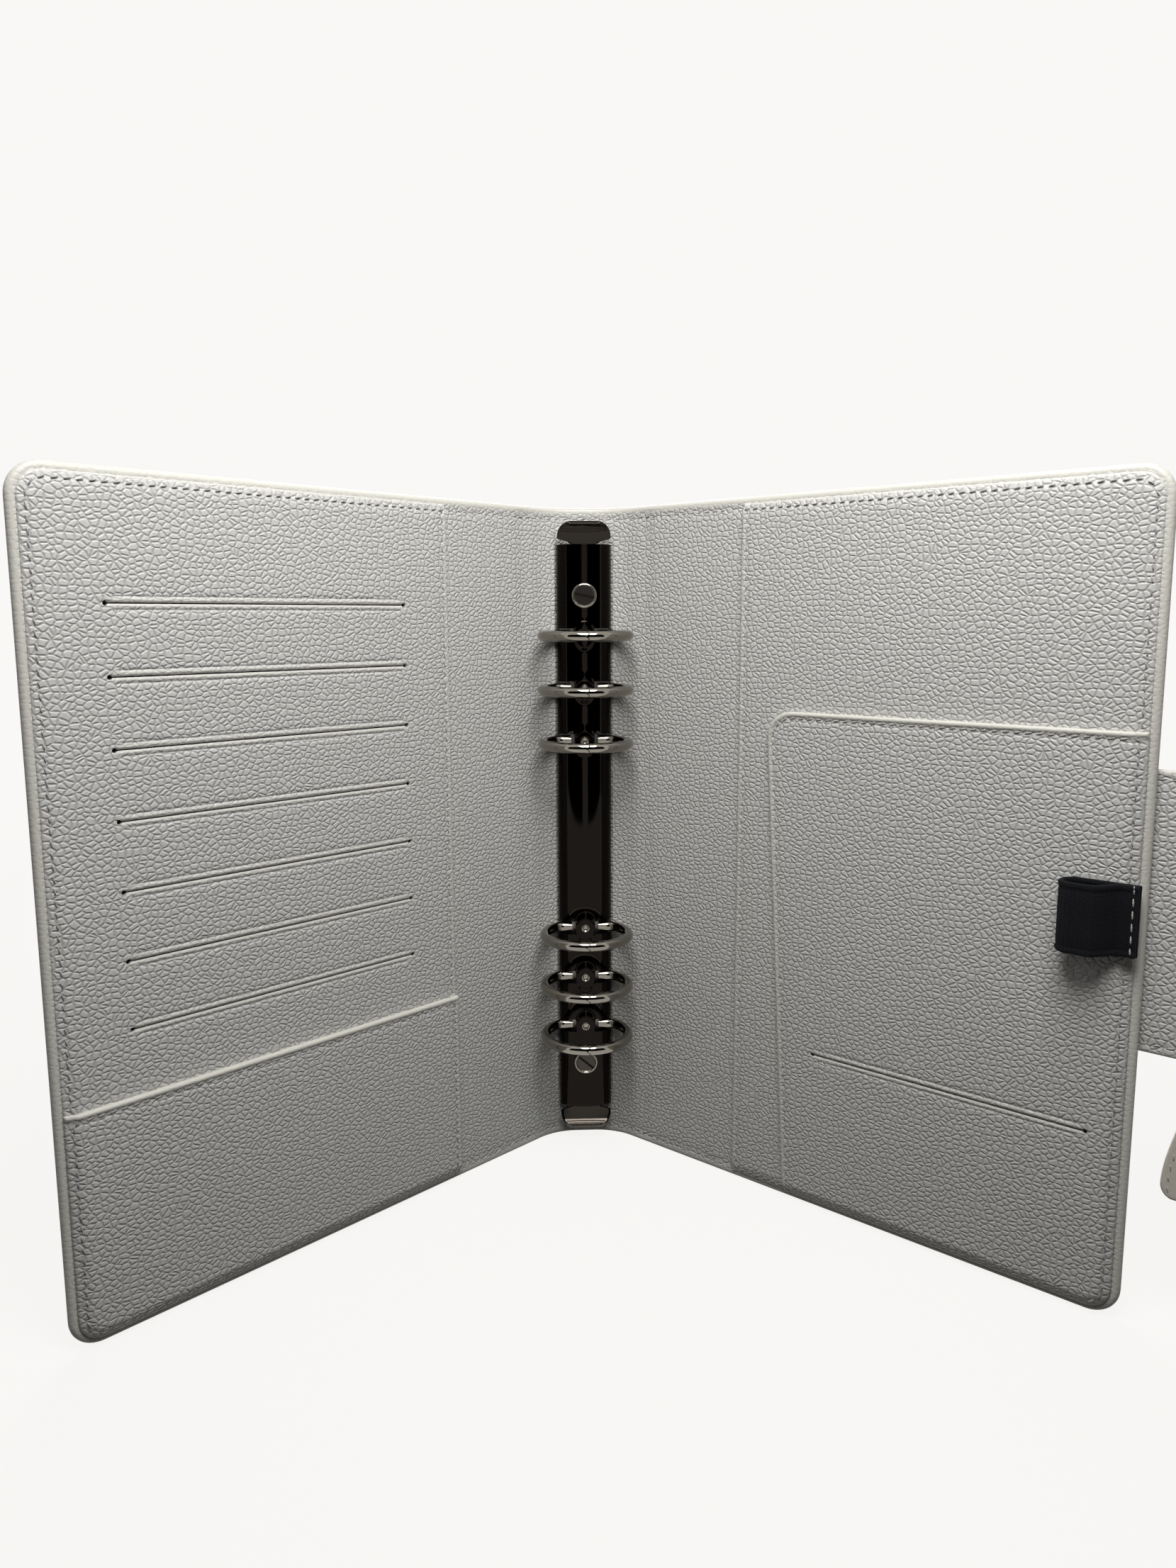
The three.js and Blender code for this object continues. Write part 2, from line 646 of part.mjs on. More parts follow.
// A lever is one bent plate: a tongue inside the rail, a neck through its end and a flared
// thumb tab. It is drawn for the head of the rail, with z from the rail's end.
function leverProfile() {
  const line = [
    new THREE.Vector2(-LEVER_TONGUE_LEVEL, -LEVER_TONGUE_LENGTH),
    new THREE.Vector2(-LEVER_TONGUE_LEVEL, -LEVER_TONGUE_LENGTH / 2),
    new THREE.Vector2(-LEVER_NECK_LEVEL, -LEVER_NECK_LENGTH),
  ];
  for (let step = 0; step <= FLARE_STEPS; step += 1) {
    const angle = (LEVER_FLARE_ANGLE * step) / FLARE_STEPS;
    const y = -LEVER_NECK_LEVEL - LEVER_FLARE_RADIUS * (1 - Math.cos(angle));
    line.push(new THREE.Vector2(y, LEVER_FLARE_RADIUS * Math.sin(angle)));
  }
  return line;
}

function leverFrontOutline() {
  const head = LEVER_FLARE_RADIUS * Math.sin(LEVER_FLARE_ANGLE) + LEVER_THICKNESS;
  const foot = -LEVER_TONGUE_LENGTH - LEVER_THICKNESS;
  const tab = LEVER_TAB_WIDTH / 2;
  const neck = LEVER_NECK_WIDTH / 2;
  const tongue = LEVER_TONGUE_WIDTH / 2;
  const shoulder = LEVER_SHOULDER_RADIUS;
  const corner = LEVER_TAB_CORNER;
  const step = LEVER_NECK_LENGTH;
  const outline = new THREE.Shape();
  outline.moveTo(-tongue, foot);
  outline.lineTo(tongue, foot);
  outline.lineTo(tongue, LEVER_GAP);
  outline.lineTo(neck, LEVER_GAP);
  outline.lineTo(neck, step);
  outline.lineTo(tab - shoulder, step);
  outline.absarc(tab - shoulder, step + shoulder, shoulder, -Math.PI / 2, 0);
  outline.lineTo(tab, head - corner);
  outline.absarc(tab - corner, head - corner, corner, 0, Math.PI / 2);
  outline.lineTo(-tab + corner, head);
  outline.absarc(-tab + corner, head - corner, corner, Math.PI / 2, Math.PI);
  outline.lineTo(-tab, step + shoulder);
  outline.absarc(-tab + shoulder, step + shoulder, shoulder, Math.PI, 1.5 * Math.PI);
  outline.lineTo(-neck, step);
  outline.lineTo(-neck, LEVER_GAP);
  outline.lineTo(-tongue, LEVER_GAP);
  return outline;
}

function lever(name, end) {
  const side = new THREE.ExtrudeGeometry(strip(leverProfile(), LEVER_THICKNESS), {
    depth: LEVER_TAB_WIDTH,
    bevelEnabled: false,
  });
  side.applyMatrix4(new THREE.Matrix4().makeBasis(
    new THREE.Vector3(0, 1, 0),
    new THREE.Vector3(0, 0, 1),
    new THREE.Vector3(1, 0, 0),
  ));
  side.translate(-LEVER_TAB_WIDTH / 2, 0, 0);
  const reach = LEVER_NECK_LEVEL + LEVER_FLARE_RADIUS;
  const front = plate(leverFrontOutline(), -reach, 0);
  const solid = toSolid(side).intersect(toSolid(front));
  const geometry = toGeometry(solid);
  if (end < 0) geometry.rotateY(Math.PI);
  geometry.translate(0, 0, MIDDLE + end * RAIL_END);
  return named(name, geometry, nickel);
}

// Assembly

const binder = new THREE.Group();

const spine = new THREE.Group();
spine.add(spineShell());
spine.add(ringRail());
const [topScrewHeight, bottomScrewHeight] = screwHeights();
spine.add(screw('top_screw', topScrewHeight, TOP_SCREW_TURN));
spine.add(screw('bottom_screw', bottomScrewHeight, BOTTOM_SCREW_TURN));
spine.add(post('top_post', topScrewHeight));
spine.add(post('bottom_post', bottomScrewHeight));
binder.add(spine);

binder.add(ringSet(-1, 'left'));
binder.add(ringSet(1, 'right'));
binder.add(lever('top_lever', 1));
binder.add(lever('bottom_lever', -1));

const frontCover = new THREE.Group();
frontCover.position.set(-HINGE_X, HINGE_Y, 0);
frontCover.rotation.z = Math.PI + OPEN_ANGLE;
frontCover.add(coverShell('front_cover_shell'));
frontCover.add(cardSlotPanel());
frontCover.add(sheet('front_pocket', sheetOutline(CARD_PANEL_START, FRONT_POCKET_HEIGHT), 1, SECOND_SHEET));
frontCover.add(snapSocket());
binder.add(frontCover);

const backCover = new THREE.Group();
backCover.position.set(HINGE_X, HINGE_Y, 0);
backCover.rotation.z = -OPEN_ANGLE;
backCover.add(coverShell('back_cover_shell'));
const backPanelOutline = sheetOutline(BACK_PANEL_START, COVER_HEIGHT - SHEET_INSET);
backCover.add(sheet('back_pocket_panel', backPanelOutline, -1, FIRST_SHEET));
backCover.add(sheet('small_pocket', smallPocketOutline(), -1, SECOND_SHEET));
backCover.add(penLoop());

const flap = new THREE.Group();
flap.position.set(FLAP_AXIS_X, FLAP_MIDDLE, 0);
const flapEnd = FLAP_ROUND + HINGE_GAP;
const sewnStart = -FLAP_FORE_GAP - FLAP_SEWN_WIDTH;
flap.add(flapLength('closure_flap_sewn_end', sewnStart, -flapEnd, 0));
flap.add(flapLength('closure_flap_bridge', -FLAP_ROUND, FLAP_BRIDGE_LENGTH - flapEnd, 0));
flap.add(pullTag());
const flapTip = new THREE.Group();
flapTip.position.set(FLAP_BRIDGE_LENGTH, 0, 0);
flapTip.add(flapLength('closure_flap_tip', -FLAP_ROUND, FLAP_TIP_LENGTH, FLAP_CORNER_RADIUS));
flapTip.add(snapStud());
flap.add(flapTip);
backCover.add(flap);
binder.add(backCover);

export default binder;
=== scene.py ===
"""The looks of an upright, half open ring binder in pebbled leather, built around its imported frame.

Lengths are written in millimetres and turned to metres where a mesh is made.
X runs to the reader's right, Y away from the reader, Z up.
"""

from __future__ import annotations

import json
import logging
import math
from collections.abc import Callable, Sequence
from dataclasses import dataclass, field
from enum import Enum

import bmesh
import bpy
import numpy as np
from mathutils import Matrix, Vector

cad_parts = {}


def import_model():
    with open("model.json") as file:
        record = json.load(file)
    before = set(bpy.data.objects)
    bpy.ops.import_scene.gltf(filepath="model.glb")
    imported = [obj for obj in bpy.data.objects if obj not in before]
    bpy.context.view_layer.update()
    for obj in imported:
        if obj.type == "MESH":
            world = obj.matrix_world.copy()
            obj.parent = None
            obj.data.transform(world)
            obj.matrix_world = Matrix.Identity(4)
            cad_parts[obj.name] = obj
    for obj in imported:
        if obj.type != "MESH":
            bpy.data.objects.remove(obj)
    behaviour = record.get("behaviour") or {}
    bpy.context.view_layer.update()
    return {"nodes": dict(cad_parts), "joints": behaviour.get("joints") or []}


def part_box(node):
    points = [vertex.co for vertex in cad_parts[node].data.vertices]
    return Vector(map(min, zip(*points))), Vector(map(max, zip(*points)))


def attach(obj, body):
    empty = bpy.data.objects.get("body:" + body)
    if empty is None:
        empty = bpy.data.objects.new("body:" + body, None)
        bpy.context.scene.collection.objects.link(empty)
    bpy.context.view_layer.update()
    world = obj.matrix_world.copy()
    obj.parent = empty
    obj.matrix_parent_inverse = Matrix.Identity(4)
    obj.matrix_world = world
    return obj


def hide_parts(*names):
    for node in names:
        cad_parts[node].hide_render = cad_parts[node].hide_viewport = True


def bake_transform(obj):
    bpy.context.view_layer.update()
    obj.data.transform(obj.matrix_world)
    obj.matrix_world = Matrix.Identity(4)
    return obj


LOG = logging.getLogger("binder")
MM = 0.001
Array = np.ndarray


class Side(Enum):
    """The two halves of the opened binder, by the sign of X."""

    FRONT = -1
    BACK = 1


class Fold(Enum):
    """How the rim of a sheet is finished."""

    SEWN = "sewn down under the row of stitches at the cover's edge"
    TURNED = "turned over and left free, as at a pocket's mouth"


# Small helpers for shapes


def report(piece: bpy.types.Object) -> None:
    """Logs a finished piece with its number of faces."""
    LOG.info("%s: %d faces", piece.name, len(piece.data.polygons))


def smoothstep(low: float, high: float, value: Array | float) -> Array:
    """Eases from 0 at low to 1 at high."""
    share = np.clip((np.asarray(value, float) - low) / (high - low), 0.0, 1.0)
    return share * share * (3.0 - 2.0 * share)


def hump(value: Array | float, width: float) -> Array:
    """A bell of height 1 around 0, width wide at about a third of its height."""
    return np.exp(-((np.asarray(value, float) / width) ** 2))


def lines(low: float, high: float, step: float, extra: Sequence[float] = ()) -> Array:
    """Grid lines from low to high, evenly spaced, with extra ones where detail needs them.

    Args:
        low: First line.
        high: Last line.
        step: Widest space between two even lines.
        extra: More lines; even ones that come too close to them are dropped.

    Returns:
        The sorted lines.
    """
    wanted = sorted({round(x, 4) for x in [low, high, *extra] if low <= x <= high})
    kept: list[float] = []
    for first, second in zip(wanted, wanted[1:]):
        parts = max(1, math.ceil((second - first) / step))
        kept.extend(first + (second - first) * k / parts for k in range(parts))
    return np.array([*kept, wanted[-1]])


def new_object(name: str, mesh: bpy.types.Mesh) -> bpy.types.Object:
    """Links a new object that holds the mesh to the scene.

    Args:
        name: The object's name.
        mesh: Its mesh.

    Returns:
        The object.
    """
    thing = bpy.data.objects.new(name, mesh)
    bpy.context.scene.collection.objects.link(thing)
    return thing


def soften(mesh: bpy.types.Mesh, degrees: float = 38.0) -> None:
    """Shades a mesh smooth, apart from edges that turn more than an angle.

    Args:
        mesh: The mesh.
        degrees: The angle past which an edge stays sharp.
    """
    mesh.polygons.foreach_set("use_smooth", [True] * len(mesh.polygons))
    mesh.set_sharp_from_angle(angle=math.radians(degrees))
    mesh.update()


def close_mesh(mesh: bpy.types.Mesh) -> None:
    """Merges doubles, drops flat faces and turns every face of a closed mesh outwards.

    Args:
        mesh: The mesh, changed in place.
    """
    body = bmesh.new()
    body.from_mesh(mesh)
    bmesh.ops.remove_doubles(body, verts=body.verts, dist=1e-7)
    bmesh.ops.dissolve_degenerate(body, edges=body.edges, dist=1e-8)
    bmesh.ops.recalc_face_normals(body, faces=body.faces)
    body.to_mesh(mesh)
    body.free()


def solid(
    name: str,
    points: Array,
    faces: Sequence[Sequence[int]],
    sheet: Array | None = None,
    marks: dict[str, Array] | None = None,
    smooth: float = 38.0,
) -> bpy.types.Object:
    """Makes a closed piece from points in millimetres.

    Args:
        name: The piece's name.
        points: Its vertices, three columns.
        faces: Its faces, as lists of vertex numbers.
        sheet: Each vertex's place on the flat material, two columns, for the UV map.
        marks: Values at the vertices that the materials read, by attribute name.
        smooth: The angle in degrees past which an edge stays sharp.

    Returns:
        The new object.
    """
    mesh = bpy.data.meshes.new(name)
    mesh.from_pydata((np.asarray(points, float) * MM).tolist(), [], [list(f) for f in faces])
    if sheet is not None:
        layer = mesh.uv_layers.new(name="material")
        corners = np.zeros(len(mesh.loops), np.int32)
        mesh.loops.foreach_get("vertex_index", corners)
        layer.data.foreach_set("uv", (np.asarray(sheet, float)[corners] * MM).astype(np.float32).ravel())
    for mark, values in (marks or {}).items():
        attribute = mesh.attributes.new(mark, "FLOAT", "POINT")
        attribute.data.foreach_set("value", np.asarray(values, np.float32).ravel())
    close_mesh(mesh)
    soften(mesh, smooth)
    return new_object(name, mesh)


def grid_faces(keep: Array, offset: int, cols: int) -> list[tuple[int, int, int, int]]:
    """Faces of the cells of a grid that are kept.

    Args:
        keep: One flag for each cell, rows by columns.
        offset: Number of the grid's first vertex.
        cols: Vertices in one row.

    Returns:
        Four vertex numbers for each kept cell.
    """
    found = []
    for row, col in zip(*np.nonzero(keep)):
        first = offset + row * cols + col
        found.append((first, first + 1, first + cols + 1, first + cols))
    return found


def wall_faces(keep: Array, count: int, cols: int) -> list[tuple[int, int, int, int]]:
    """Faces that close the rim of the kept cells between two grids of count vertices each.

    Args:
        keep: One flag for each cell, rows by columns.
        count: Vertices in the first grid.
        cols: Vertices in one row.

    Returns:
        Four vertex numbers for each stretch of the rim.
    """
    rows, across = keep.shape
    padded = np.zeros((rows + 2, across + 2), bool)
    padded[1:-1, 1:-1] = keep
    found = []
    for row in range(rows + 1):
        for col in range(across):
            if padded[row, col + 1] != padded[row + 1, col + 1]:
                a = row * cols + col
                found.append((a, a + 1, a + 1 + count, a + count))
    for row in range(rows):
        for col in range(across + 1):
            if padded[row + 1, col] != padded[row + 1, col + 1]:
                a = row * cols + col
                found.append((a, a + cols, a + cols + count, a + count))
    return found


def shell(
    name: str,
    front: Array,
    back: Array,
    keep: Array | None = None,
    sheet: Array | None = None,
    marks: dict[str, Array] | None = None,
    smooth: float = 38.0,
) -> bpy.types.Object:
    """Makes a closed piece from a front grid and a back grid of points, joined at their rims.

    Args:
        name: The piece's name.
        front: Front points, rows by columns by three.
        back: Back points of the same shape.
        keep: One flag for each cell; a cell that isn't kept is a hole through the piece.
        sheet: Places on the flat material, rows by columns by two.
        marks: Values at the grid's points, by attribute name, for both grids.
        smooth: The angle in degrees past which an edge stays sharp.

    Returns:
        The new object.
    """
    rows, cols = front.shape[:2]
    count = rows * cols
    flags = np.ones((rows - 1, cols - 1), bool) if keep is None else keep
    faces = grid_faces(flags, 0, cols) + grid_faces(flags, count, cols) + wall_faces(flags, count, cols)
    points = np.concatenate([front.reshape(-1, 3), back.reshape(-1, 3)])
    used = np.unique(np.array(faces))
    number = np.full(len(points), -1)
    number[used] = np.arange(len(used))
    places = None if sheet is None else np.tile(sheet.reshape(-1, 2), (2, 1))[used]
    values = {key: np.tile(value.ravel(), 2)[used] for key, value in (marks or {}).items()}
    return solid(name, points[used], number[np.array(faces)].tolist(), places, values, smooth)


def tube_faces(rings: int, sides: int) -> list[tuple[int, ...]]:
    """Faces round a tube of equal rings and over its two ends.

    Args:
        rings: Rings of vertices along the tube.
        sides: Vertices in one ring.

    Returns:
        Vertex numbers of each face.
    """
    faces: list[tuple[int, ...]] = []
    for low in range(0, (rings - 1) * sides, sides):
        for k in range(sides):
            after = (k + 1) % sides
            faces.append((low + k, low + after, low + sides + after, low + sides + k))
    last = (rings - 1) * sides
    return [*faces, tuple(range(sides)), tuple(last + k for k in range(sides))]


def turned(name: str, profile: Sequence[tuple[float, float]], sides: int = 48) -> bpy.types.Object:
    """Makes a turned piece around the Y axis.

    Args:
        name: The piece's name.
        profile: Radius and place along Y of each point, from axis to axis.
        sides: Vertices in one turn.

    Returns:
        The new object, at the origin.
    """
    turns = np.linspace(0.0, 2 * math.pi, sides, endpoint=False)
    radius = np.array([p[0] for p in profile])[:, None]
    along = np.array([p[1] for p in profile])[:, None]
    points = np.stack(
        [radius * np.cos(turns), along + 0 * turns, radius * np.sin(turns)], axis=-1
    ).reshape(-1, 3)
    return solid(name, points, tube_faces(len(profile), sides), smooth=32.0)


def swept(
    name: str,
    path: Array,
    section: Array,
    up: Vector,
    end_shift: Callable[[Array], Array] | None = None,
) -> bpy.types.Object:
    """Sweeps a closed section along a plane path.

    Args:
        name: The piece's name.
        path: Points of the middle line, three columns.
        section: Points of the section, across the path and along up.
        up: The direction that stays square to the path.
        end_shift: Gives how far each section point reaches along the path at its first end.

    Returns:
        The new object.
    """
    tangent = np.gradient(path, axis=0)
    tangent /= np.linalg.norm(tangent, axis=1)[:, None]
    rise = np.array(up, float)
    across = np.cross(tangent, rise)
    rings = path[:, None, :] + section[None, :, :1] * across[:, None, :] + section[None, :, 1:] * rise
    if end_shift is not None:
        reach = end_shift(section)[None, :, None] * tangent[:1, None, :]
        fade = np.zeros(len(path))
        fade[:2] = (1.0, 0.5)
        rings = rings - reach * fade[:, None, None]
    return solid(name, rings.reshape(-1, 3), tube_faces(*rings.shape[:2]), smooth=50.0)


def moved(thing: bpy.types.Object, place: Sequence[float], turn: Matrix | None = None) -> bpy.types.Object:
    """Turns a piece's mesh about the origin and moves it to a place in millimetres.

    Args:
        thing: The piece.
        place: Where its origin goes.
        turn: Its turn, if any.

    Returns:
        The piece.
    """
    matrix = Matrix.Translation(Vector(place) * MM)
    if turn is not None:
        matrix = matrix @ turn.to_4x4()
    thing.data.transform(matrix)
    return thing


def baked(thing: bpy.types.Object) -> bpy.types.Object:
    """Turns a piece's live modifiers into plain mesh and removes them.

    Args:
        thing: The piece.

    Returns:
        The piece.
    """
    bpy.context.view_layer.update()
    graph = bpy.context.evaluated_depsgraph_get()
    mesh = bpy.data.meshes.new_from_object(thing.evaluated_get(graph), depsgraph=graph)
    thing.modifiers.clear()
    old = thing.data
    thing.data = mesh
    mesh.name = thing.name
    bpy.data.meshes.remove(old)
    return thing


def carved(thing: bpy.types.Object, tools: Sequence[bpy.types.Object]) -> bpy.types.Object:
    """Cuts closed tools out of a piece and deletes them.

    Args:
        thing: The piece.
        tools: Closed pieces to cut with.

    Returns:
        The piece.
    """
    joined = bpy.data.collections.new(f"{thing.name}_tools")
    for tool in tools:
        joined.objects.link(tool)
    modifier = thing.modifiers.new("cut", "BOOLEAN")
    modifier.operation = "DIFFERENCE"
    modifier.solver = "EXACT"
    modifier.operand_type = "COLLECTION"
    modifier.collection = joined
    baked(thing)
    for tool in tools:
        mesh = tool.data
        bpy.data.objects.remove(tool)
        bpy.data.meshes.remove(mesh)
    bpy.data.collections.remove(joined)
    soften(thing.data)
    return thing


def bevelled(thing: bpy.types.Object, width: float, segments: int = 2) -> bpy.types.Object:
    """Rounds the sharp edges of a piece by a width in millimetres.

    Args:
        thing: The piece.
        width: Width of the rounding.
        segments: Faces across it.

    Returns:
        The piece.
    """
    modifier = thing.modifiers.new("bevel", "BEVEL")
    modifier.width = width * MM
    modifier.segments = segments
    modifier.limit_method = "ANGLE"
    modifier.angle_limit = math.radians(40)
    baked(thing)
    soften(thing.data, 60.0)
    return thing


# Finishes


def linear(code: str) -> tuple[float, float, float, float]:
    """Turns an sRGB hex colour to the linear values that shaders take.

    Args:
        code: The colour, as a hash and six digits.

    Returns:
        Red, green, blue and an alpha of 1.
    """
    parts = [int(code[k : k + 2], 16) / 255 for k in (1, 3, 5)]
    red, green, blue = (c / 12.92 if c <= 0.04045 else ((c + 0.055) / 1.055) ** 2.4 for c in parts)
    return red, green, blue, 1.0


def add_node(
    tree: bpy.types.NodeTree,
    kind: str,
    settings: dict[str, object] | None = None,
    values: dict[str | int, object] | None = None,
    links: dict[str | int, bpy.types.NodeSocket] | None = None,
) -> bpy.types.Node:
    """Adds a node with its settings, socket values and incoming links.

    Args:
        tree: The tree that gets the node.
        kind: Blender's name of the node type.
        settings: Properties of the node.
        values: Constants for its input sockets, by name or number.
        links: Sockets of other nodes that feed its inputs, by name or number.

    Returns:
        The new node.
    """
    node = tree.nodes.new(kind)
    for name, value in (settings or {}).items():
        setattr(node, name, value)
    for socket, value in (values or {}).items():
        node.inputs[socket].default_value = value
    for socket, source in (links or {}).items():
        tree.links.new(source, node.inputs[socket])
    return node


def blank_material(name: str) -> bpy.types.Material:
    """A new material with an empty node tree.

    Args:
        name: The material's name.

    Returns:
        The material.
    """
    material = bpy.data.materials.new(name)
    material.use_nodes = True
    material.node_tree.nodes.clear()
    return material


def close_material(material: bpy.types.Material, shader: bpy.types.Node) -> bpy.types.Material:
    """Joins a shader to a new output node of its material."""
    add_node(material.node_tree, "ShaderNodeOutputMaterial", links={"Surface": shader.outputs[0]})
    return material


@dataclass(frozen=True)
class PebbledLeather:
    """Coated leather, embossed with irregular pebbles under a press plate and satin finished.

    The eye gets convex cells with creases between them that are darkened in colour as painted
    shade, and smooth warm edges where the leather is turned over and the emboss is pulled flat.
    """

    colour: str = "#C9C8C4"
    # Painted shade: the darker colour given to the creases between the pebbles.
    painted_crease_shade: str = "#9D9B96"
    edge: str = "#D0CDC4"
    pebble: float = 1.65
    stretch: float = 0.82
    grain: float = 0.35
    depth: float = 0.185
    roughness: float = 0.46

    def build(self, name: str) -> bpy.types.Material:
        """Makes the material.

        Args:
            name: The material's name.

        Returns:
            The material.
        """
        material = blank_material(name)
        tree = material.node_tree
        flat = add_node(tree, "ShaderNodeUVMap", {"uv_map": "material"}).outputs["UV"]
        place = add_node(
            tree, "ShaderNodeVectorMath", {"operation": "MULTIPLY"}, {1: (self.stretch, 1.0, 1.0)}, {0: flat}
        ).outputs[0]
        sway = add_node(
            tree, "ShaderNodeTexNoise", {"noise_dimensions": "2D"},
            {"Scale": 1 / (2.2 * self.pebble * MM), "Detail": 1.0}, {"Vector": place},
        )
        pull = add_node(
            tree, "ShaderNodeVectorMath", {"operation": "MULTIPLY_ADD"},
            {1: (0.42 * self.pebble * MM,) * 3}, {0: sway.outputs["Color"], 2: place},
        ).outputs[0]
        cells = [
            add_node(
                tree, "ShaderNodeTexVoronoi",
                {"feature": "DISTANCE_TO_EDGE", "voronoi_dimensions": "2D"},
                {"Scale": 1 / (size * MM), "Randomness": 0.9}, {"Vector": pull},
            ).outputs["Distance"]
            for size in (self.pebble, 0.52 * self.pebble)
        ]
        pebbles, wrinkles = (
            add_node(
                tree, "ShaderNodeMapRange", {"interpolation_type": "SMOOTHERSTEP"},
                {"From Min": 0.0, "From Max": reach, "To Min": 0.0, "To Max": 1.0}, {"Value": cell},
            ).outputs[0]
            for cell, reach in zip(cells, (0.3, 0.4))
        )
        fine = add_node(
            tree, "ShaderNodeTexNoise", {"noise_dimensions": "2D"},
            {"Scale": 1 / (self.grain * MM), "Detail": 2.0}, {"Vector": place},
        ).outputs[0]
        with_wrinkles = add_node(
            tree, "ShaderNodeMath", {"operation": "MULTIPLY_ADD"}, {1: 0.1}, {0: wrinkles, 2: pebbles}
        ).outputs[0]
        height = add_node(
            tree, "ShaderNodeMath", {"operation": "MULTIPLY_ADD"}, {1: 0.06}, {0: fine, 2: with_wrinkles}
        ).outputs[0]
        rim = add_node(tree, "ShaderNodeAttribute", {"attribute_name": "rim"}).outputs["Fac"]
        pressed = add_node(
            tree, "ShaderNodeMapRange", {},
            {"From Min": 0.0, "From Max": 1.0, "To Min": 1.0, "To Max": 0.16}, {"Value": rim},
        ).outputs[0]
        bump = add_node(
            tree, "ShaderNodeBump", {}, {"Distance": self.depth * MM},
            {"Height": height, "Strength": pressed},
        )
        # Painted shade: the creases between the pebbles are mixed towards the darker crease colour.
        painted_crease_shade = add_node(
            tree, "ShaderNodeMapRange", {"interpolation_type": "SMOOTHSTEP"},
            {"From Min": 0.0, "From Max": 0.1, "To Min": 0.75, "To Max": 0.0}, {"Value": cells[0]},
        ).outputs[0]
        tint = add_node(
            tree, "ShaderNodeMix", {"data_type": "RGBA"}, {6: linear(self.colour), 7: linear(self.painted_crease_shade)},
            {0: painted_crease_shade},
        ).outputs[2]
        colour = add_node(
            tree, "ShaderNodeMix", {"data_type": "RGBA"}, {7: linear(self.edge)}, {0: rim, 6: tint}
        ).outputs[2]
        shader = add_node(
            tree, "ShaderNodeBsdfPrincipled", {}, {"Roughness": self.roughness, "IOR": 1.47},
            {"Base Color": colour, "Normal": bump.outputs[0]},
        )
        return close_material(material, shader)


@dataclass(frozen=True)
class SmoothLeather:
    """Split leather with a smooth rolled coat, used for the hanging tag."""

    colour: str = "#CFC9BC"
    grain: float = 0.6
    roughness: float = 0.45

    def build(self, name: str) -> bpy.types.Material:
        """Makes the material.

        Args:
            name: The material's name.

        Returns:
            The material.
        """
        material = blank_material(name)
        tree = material.node_tree
        place = add_node(tree, "ShaderNodeTexCoord").outputs["Object"]
        noise = add_node(
            tree, "ShaderNodeTexNoise", {}, {"Scale": 1 / (self.grain * MM), "Detail": 4.0},
            {"Vector": place}
        )
        bump = add_node(
            tree, "ShaderNodeBump", {}, {"Distance": 0.04 * MM, "Strength": 0.8},
            {"Height": noise.outputs[0]},
        )
        shader = add_node(
            tree, "ShaderNodeBsdfPrincipled", {},
            {"Base Color": linear(self.colour), "Roughness": self.roughness, "IOR": 1.47},
            {"Normal": bump.outputs[0]},
        )
        return close_material(material, shader)


@dataclass(frozen=True)
class Thread:
    """Bonded polyester sewing thread with a soft sheen, dyed near the leather's own colour."""

    colour: str
    roughness: float = 0.6

    def build(self, name: str) -> bpy.types.Material:
        """Makes the material, with the thread's twist as fine slanted lines.

        Args:
            name: The material's name.

        Returns:
            The material.
        """
        material = blank_material(name)
        tree = material.node_tree
        place = add_node(tree, "ShaderNodeTexCoord").outputs["Object"]
        twist = add_node(
            tree, "ShaderNodeTexWave", {"bands_direction": "DIAGONAL"}, {"Scale": 1 / (1.3 * MM)},
            {"Vector": place},
        )
        bump = add_node(
            tree, "ShaderNodeBump", {}, {"Distance": 0.05 * MM}, {"Height": twist.outputs["Fac"]}
        )
        shader = add_node(
            tree, "ShaderNodeBsdfPrincipled", {},
            {"Base Color": linear(self.colour), "Roughness": self.roughness, "Sheen Weight": 0.2},
            {"Normal": bump.outputs[0]},
        )
        return close_material(material, shader)


@dataclass(frozen=True)
class RibbedElastic:
    """Woven elastic tape: polyester yarn over rubber cores, dull and almost black."""

    colour: str = "#030305"
    crest_highlight: str = "#15161B"
    thread: float = 0.45

    def build(self, name: str) -> bpy.types.Material:
        """Makes the material, with cross threads finer than the modelled ribs, their raised crests made
        lighter as a painted highlight.

        Args:
            name: The material's name.

        Returns:
            The material.
        """
        material = blank_material(name)
        tree = material.node_tree
        place = add_node(tree, "ShaderNodeUVMap", {"uv_map": "material"}).outputs["UV"]
        weave = add_node(
            tree, "ShaderNodeTexWave", {"bands_direction": "Y"},
            {"Scale": 1 / (3.1 * self.thread * MM), "Distortion": 1.2, "Detail": 1.0}, {"Vector": place},
        ).outputs["Fac"]
        # Painted highlight: the raised crests of the cross threads are mixed towards a lighter colour.
        tint = add_node(
            tree, "ShaderNodeMix", {"data_type": "RGBA"}, {6: linear(self.colour), 7: linear(self.crest_highlight)},
            {0: weave},
        ).outputs[2]
        bump = add_node(
            tree, "ShaderNodeBump", {}, {"Distance": 0.08 * MM}, {"Height": weave}
        )
        shader = add_node(
            tree, "ShaderNodeBsdfPrincipled", {}, {"Roughness": 0.95, "Specular IOR Level": 0.2},
            {"Base Color": tint, "Normal": bump.outputs[0]},
        )
        return close_material(material, shader)


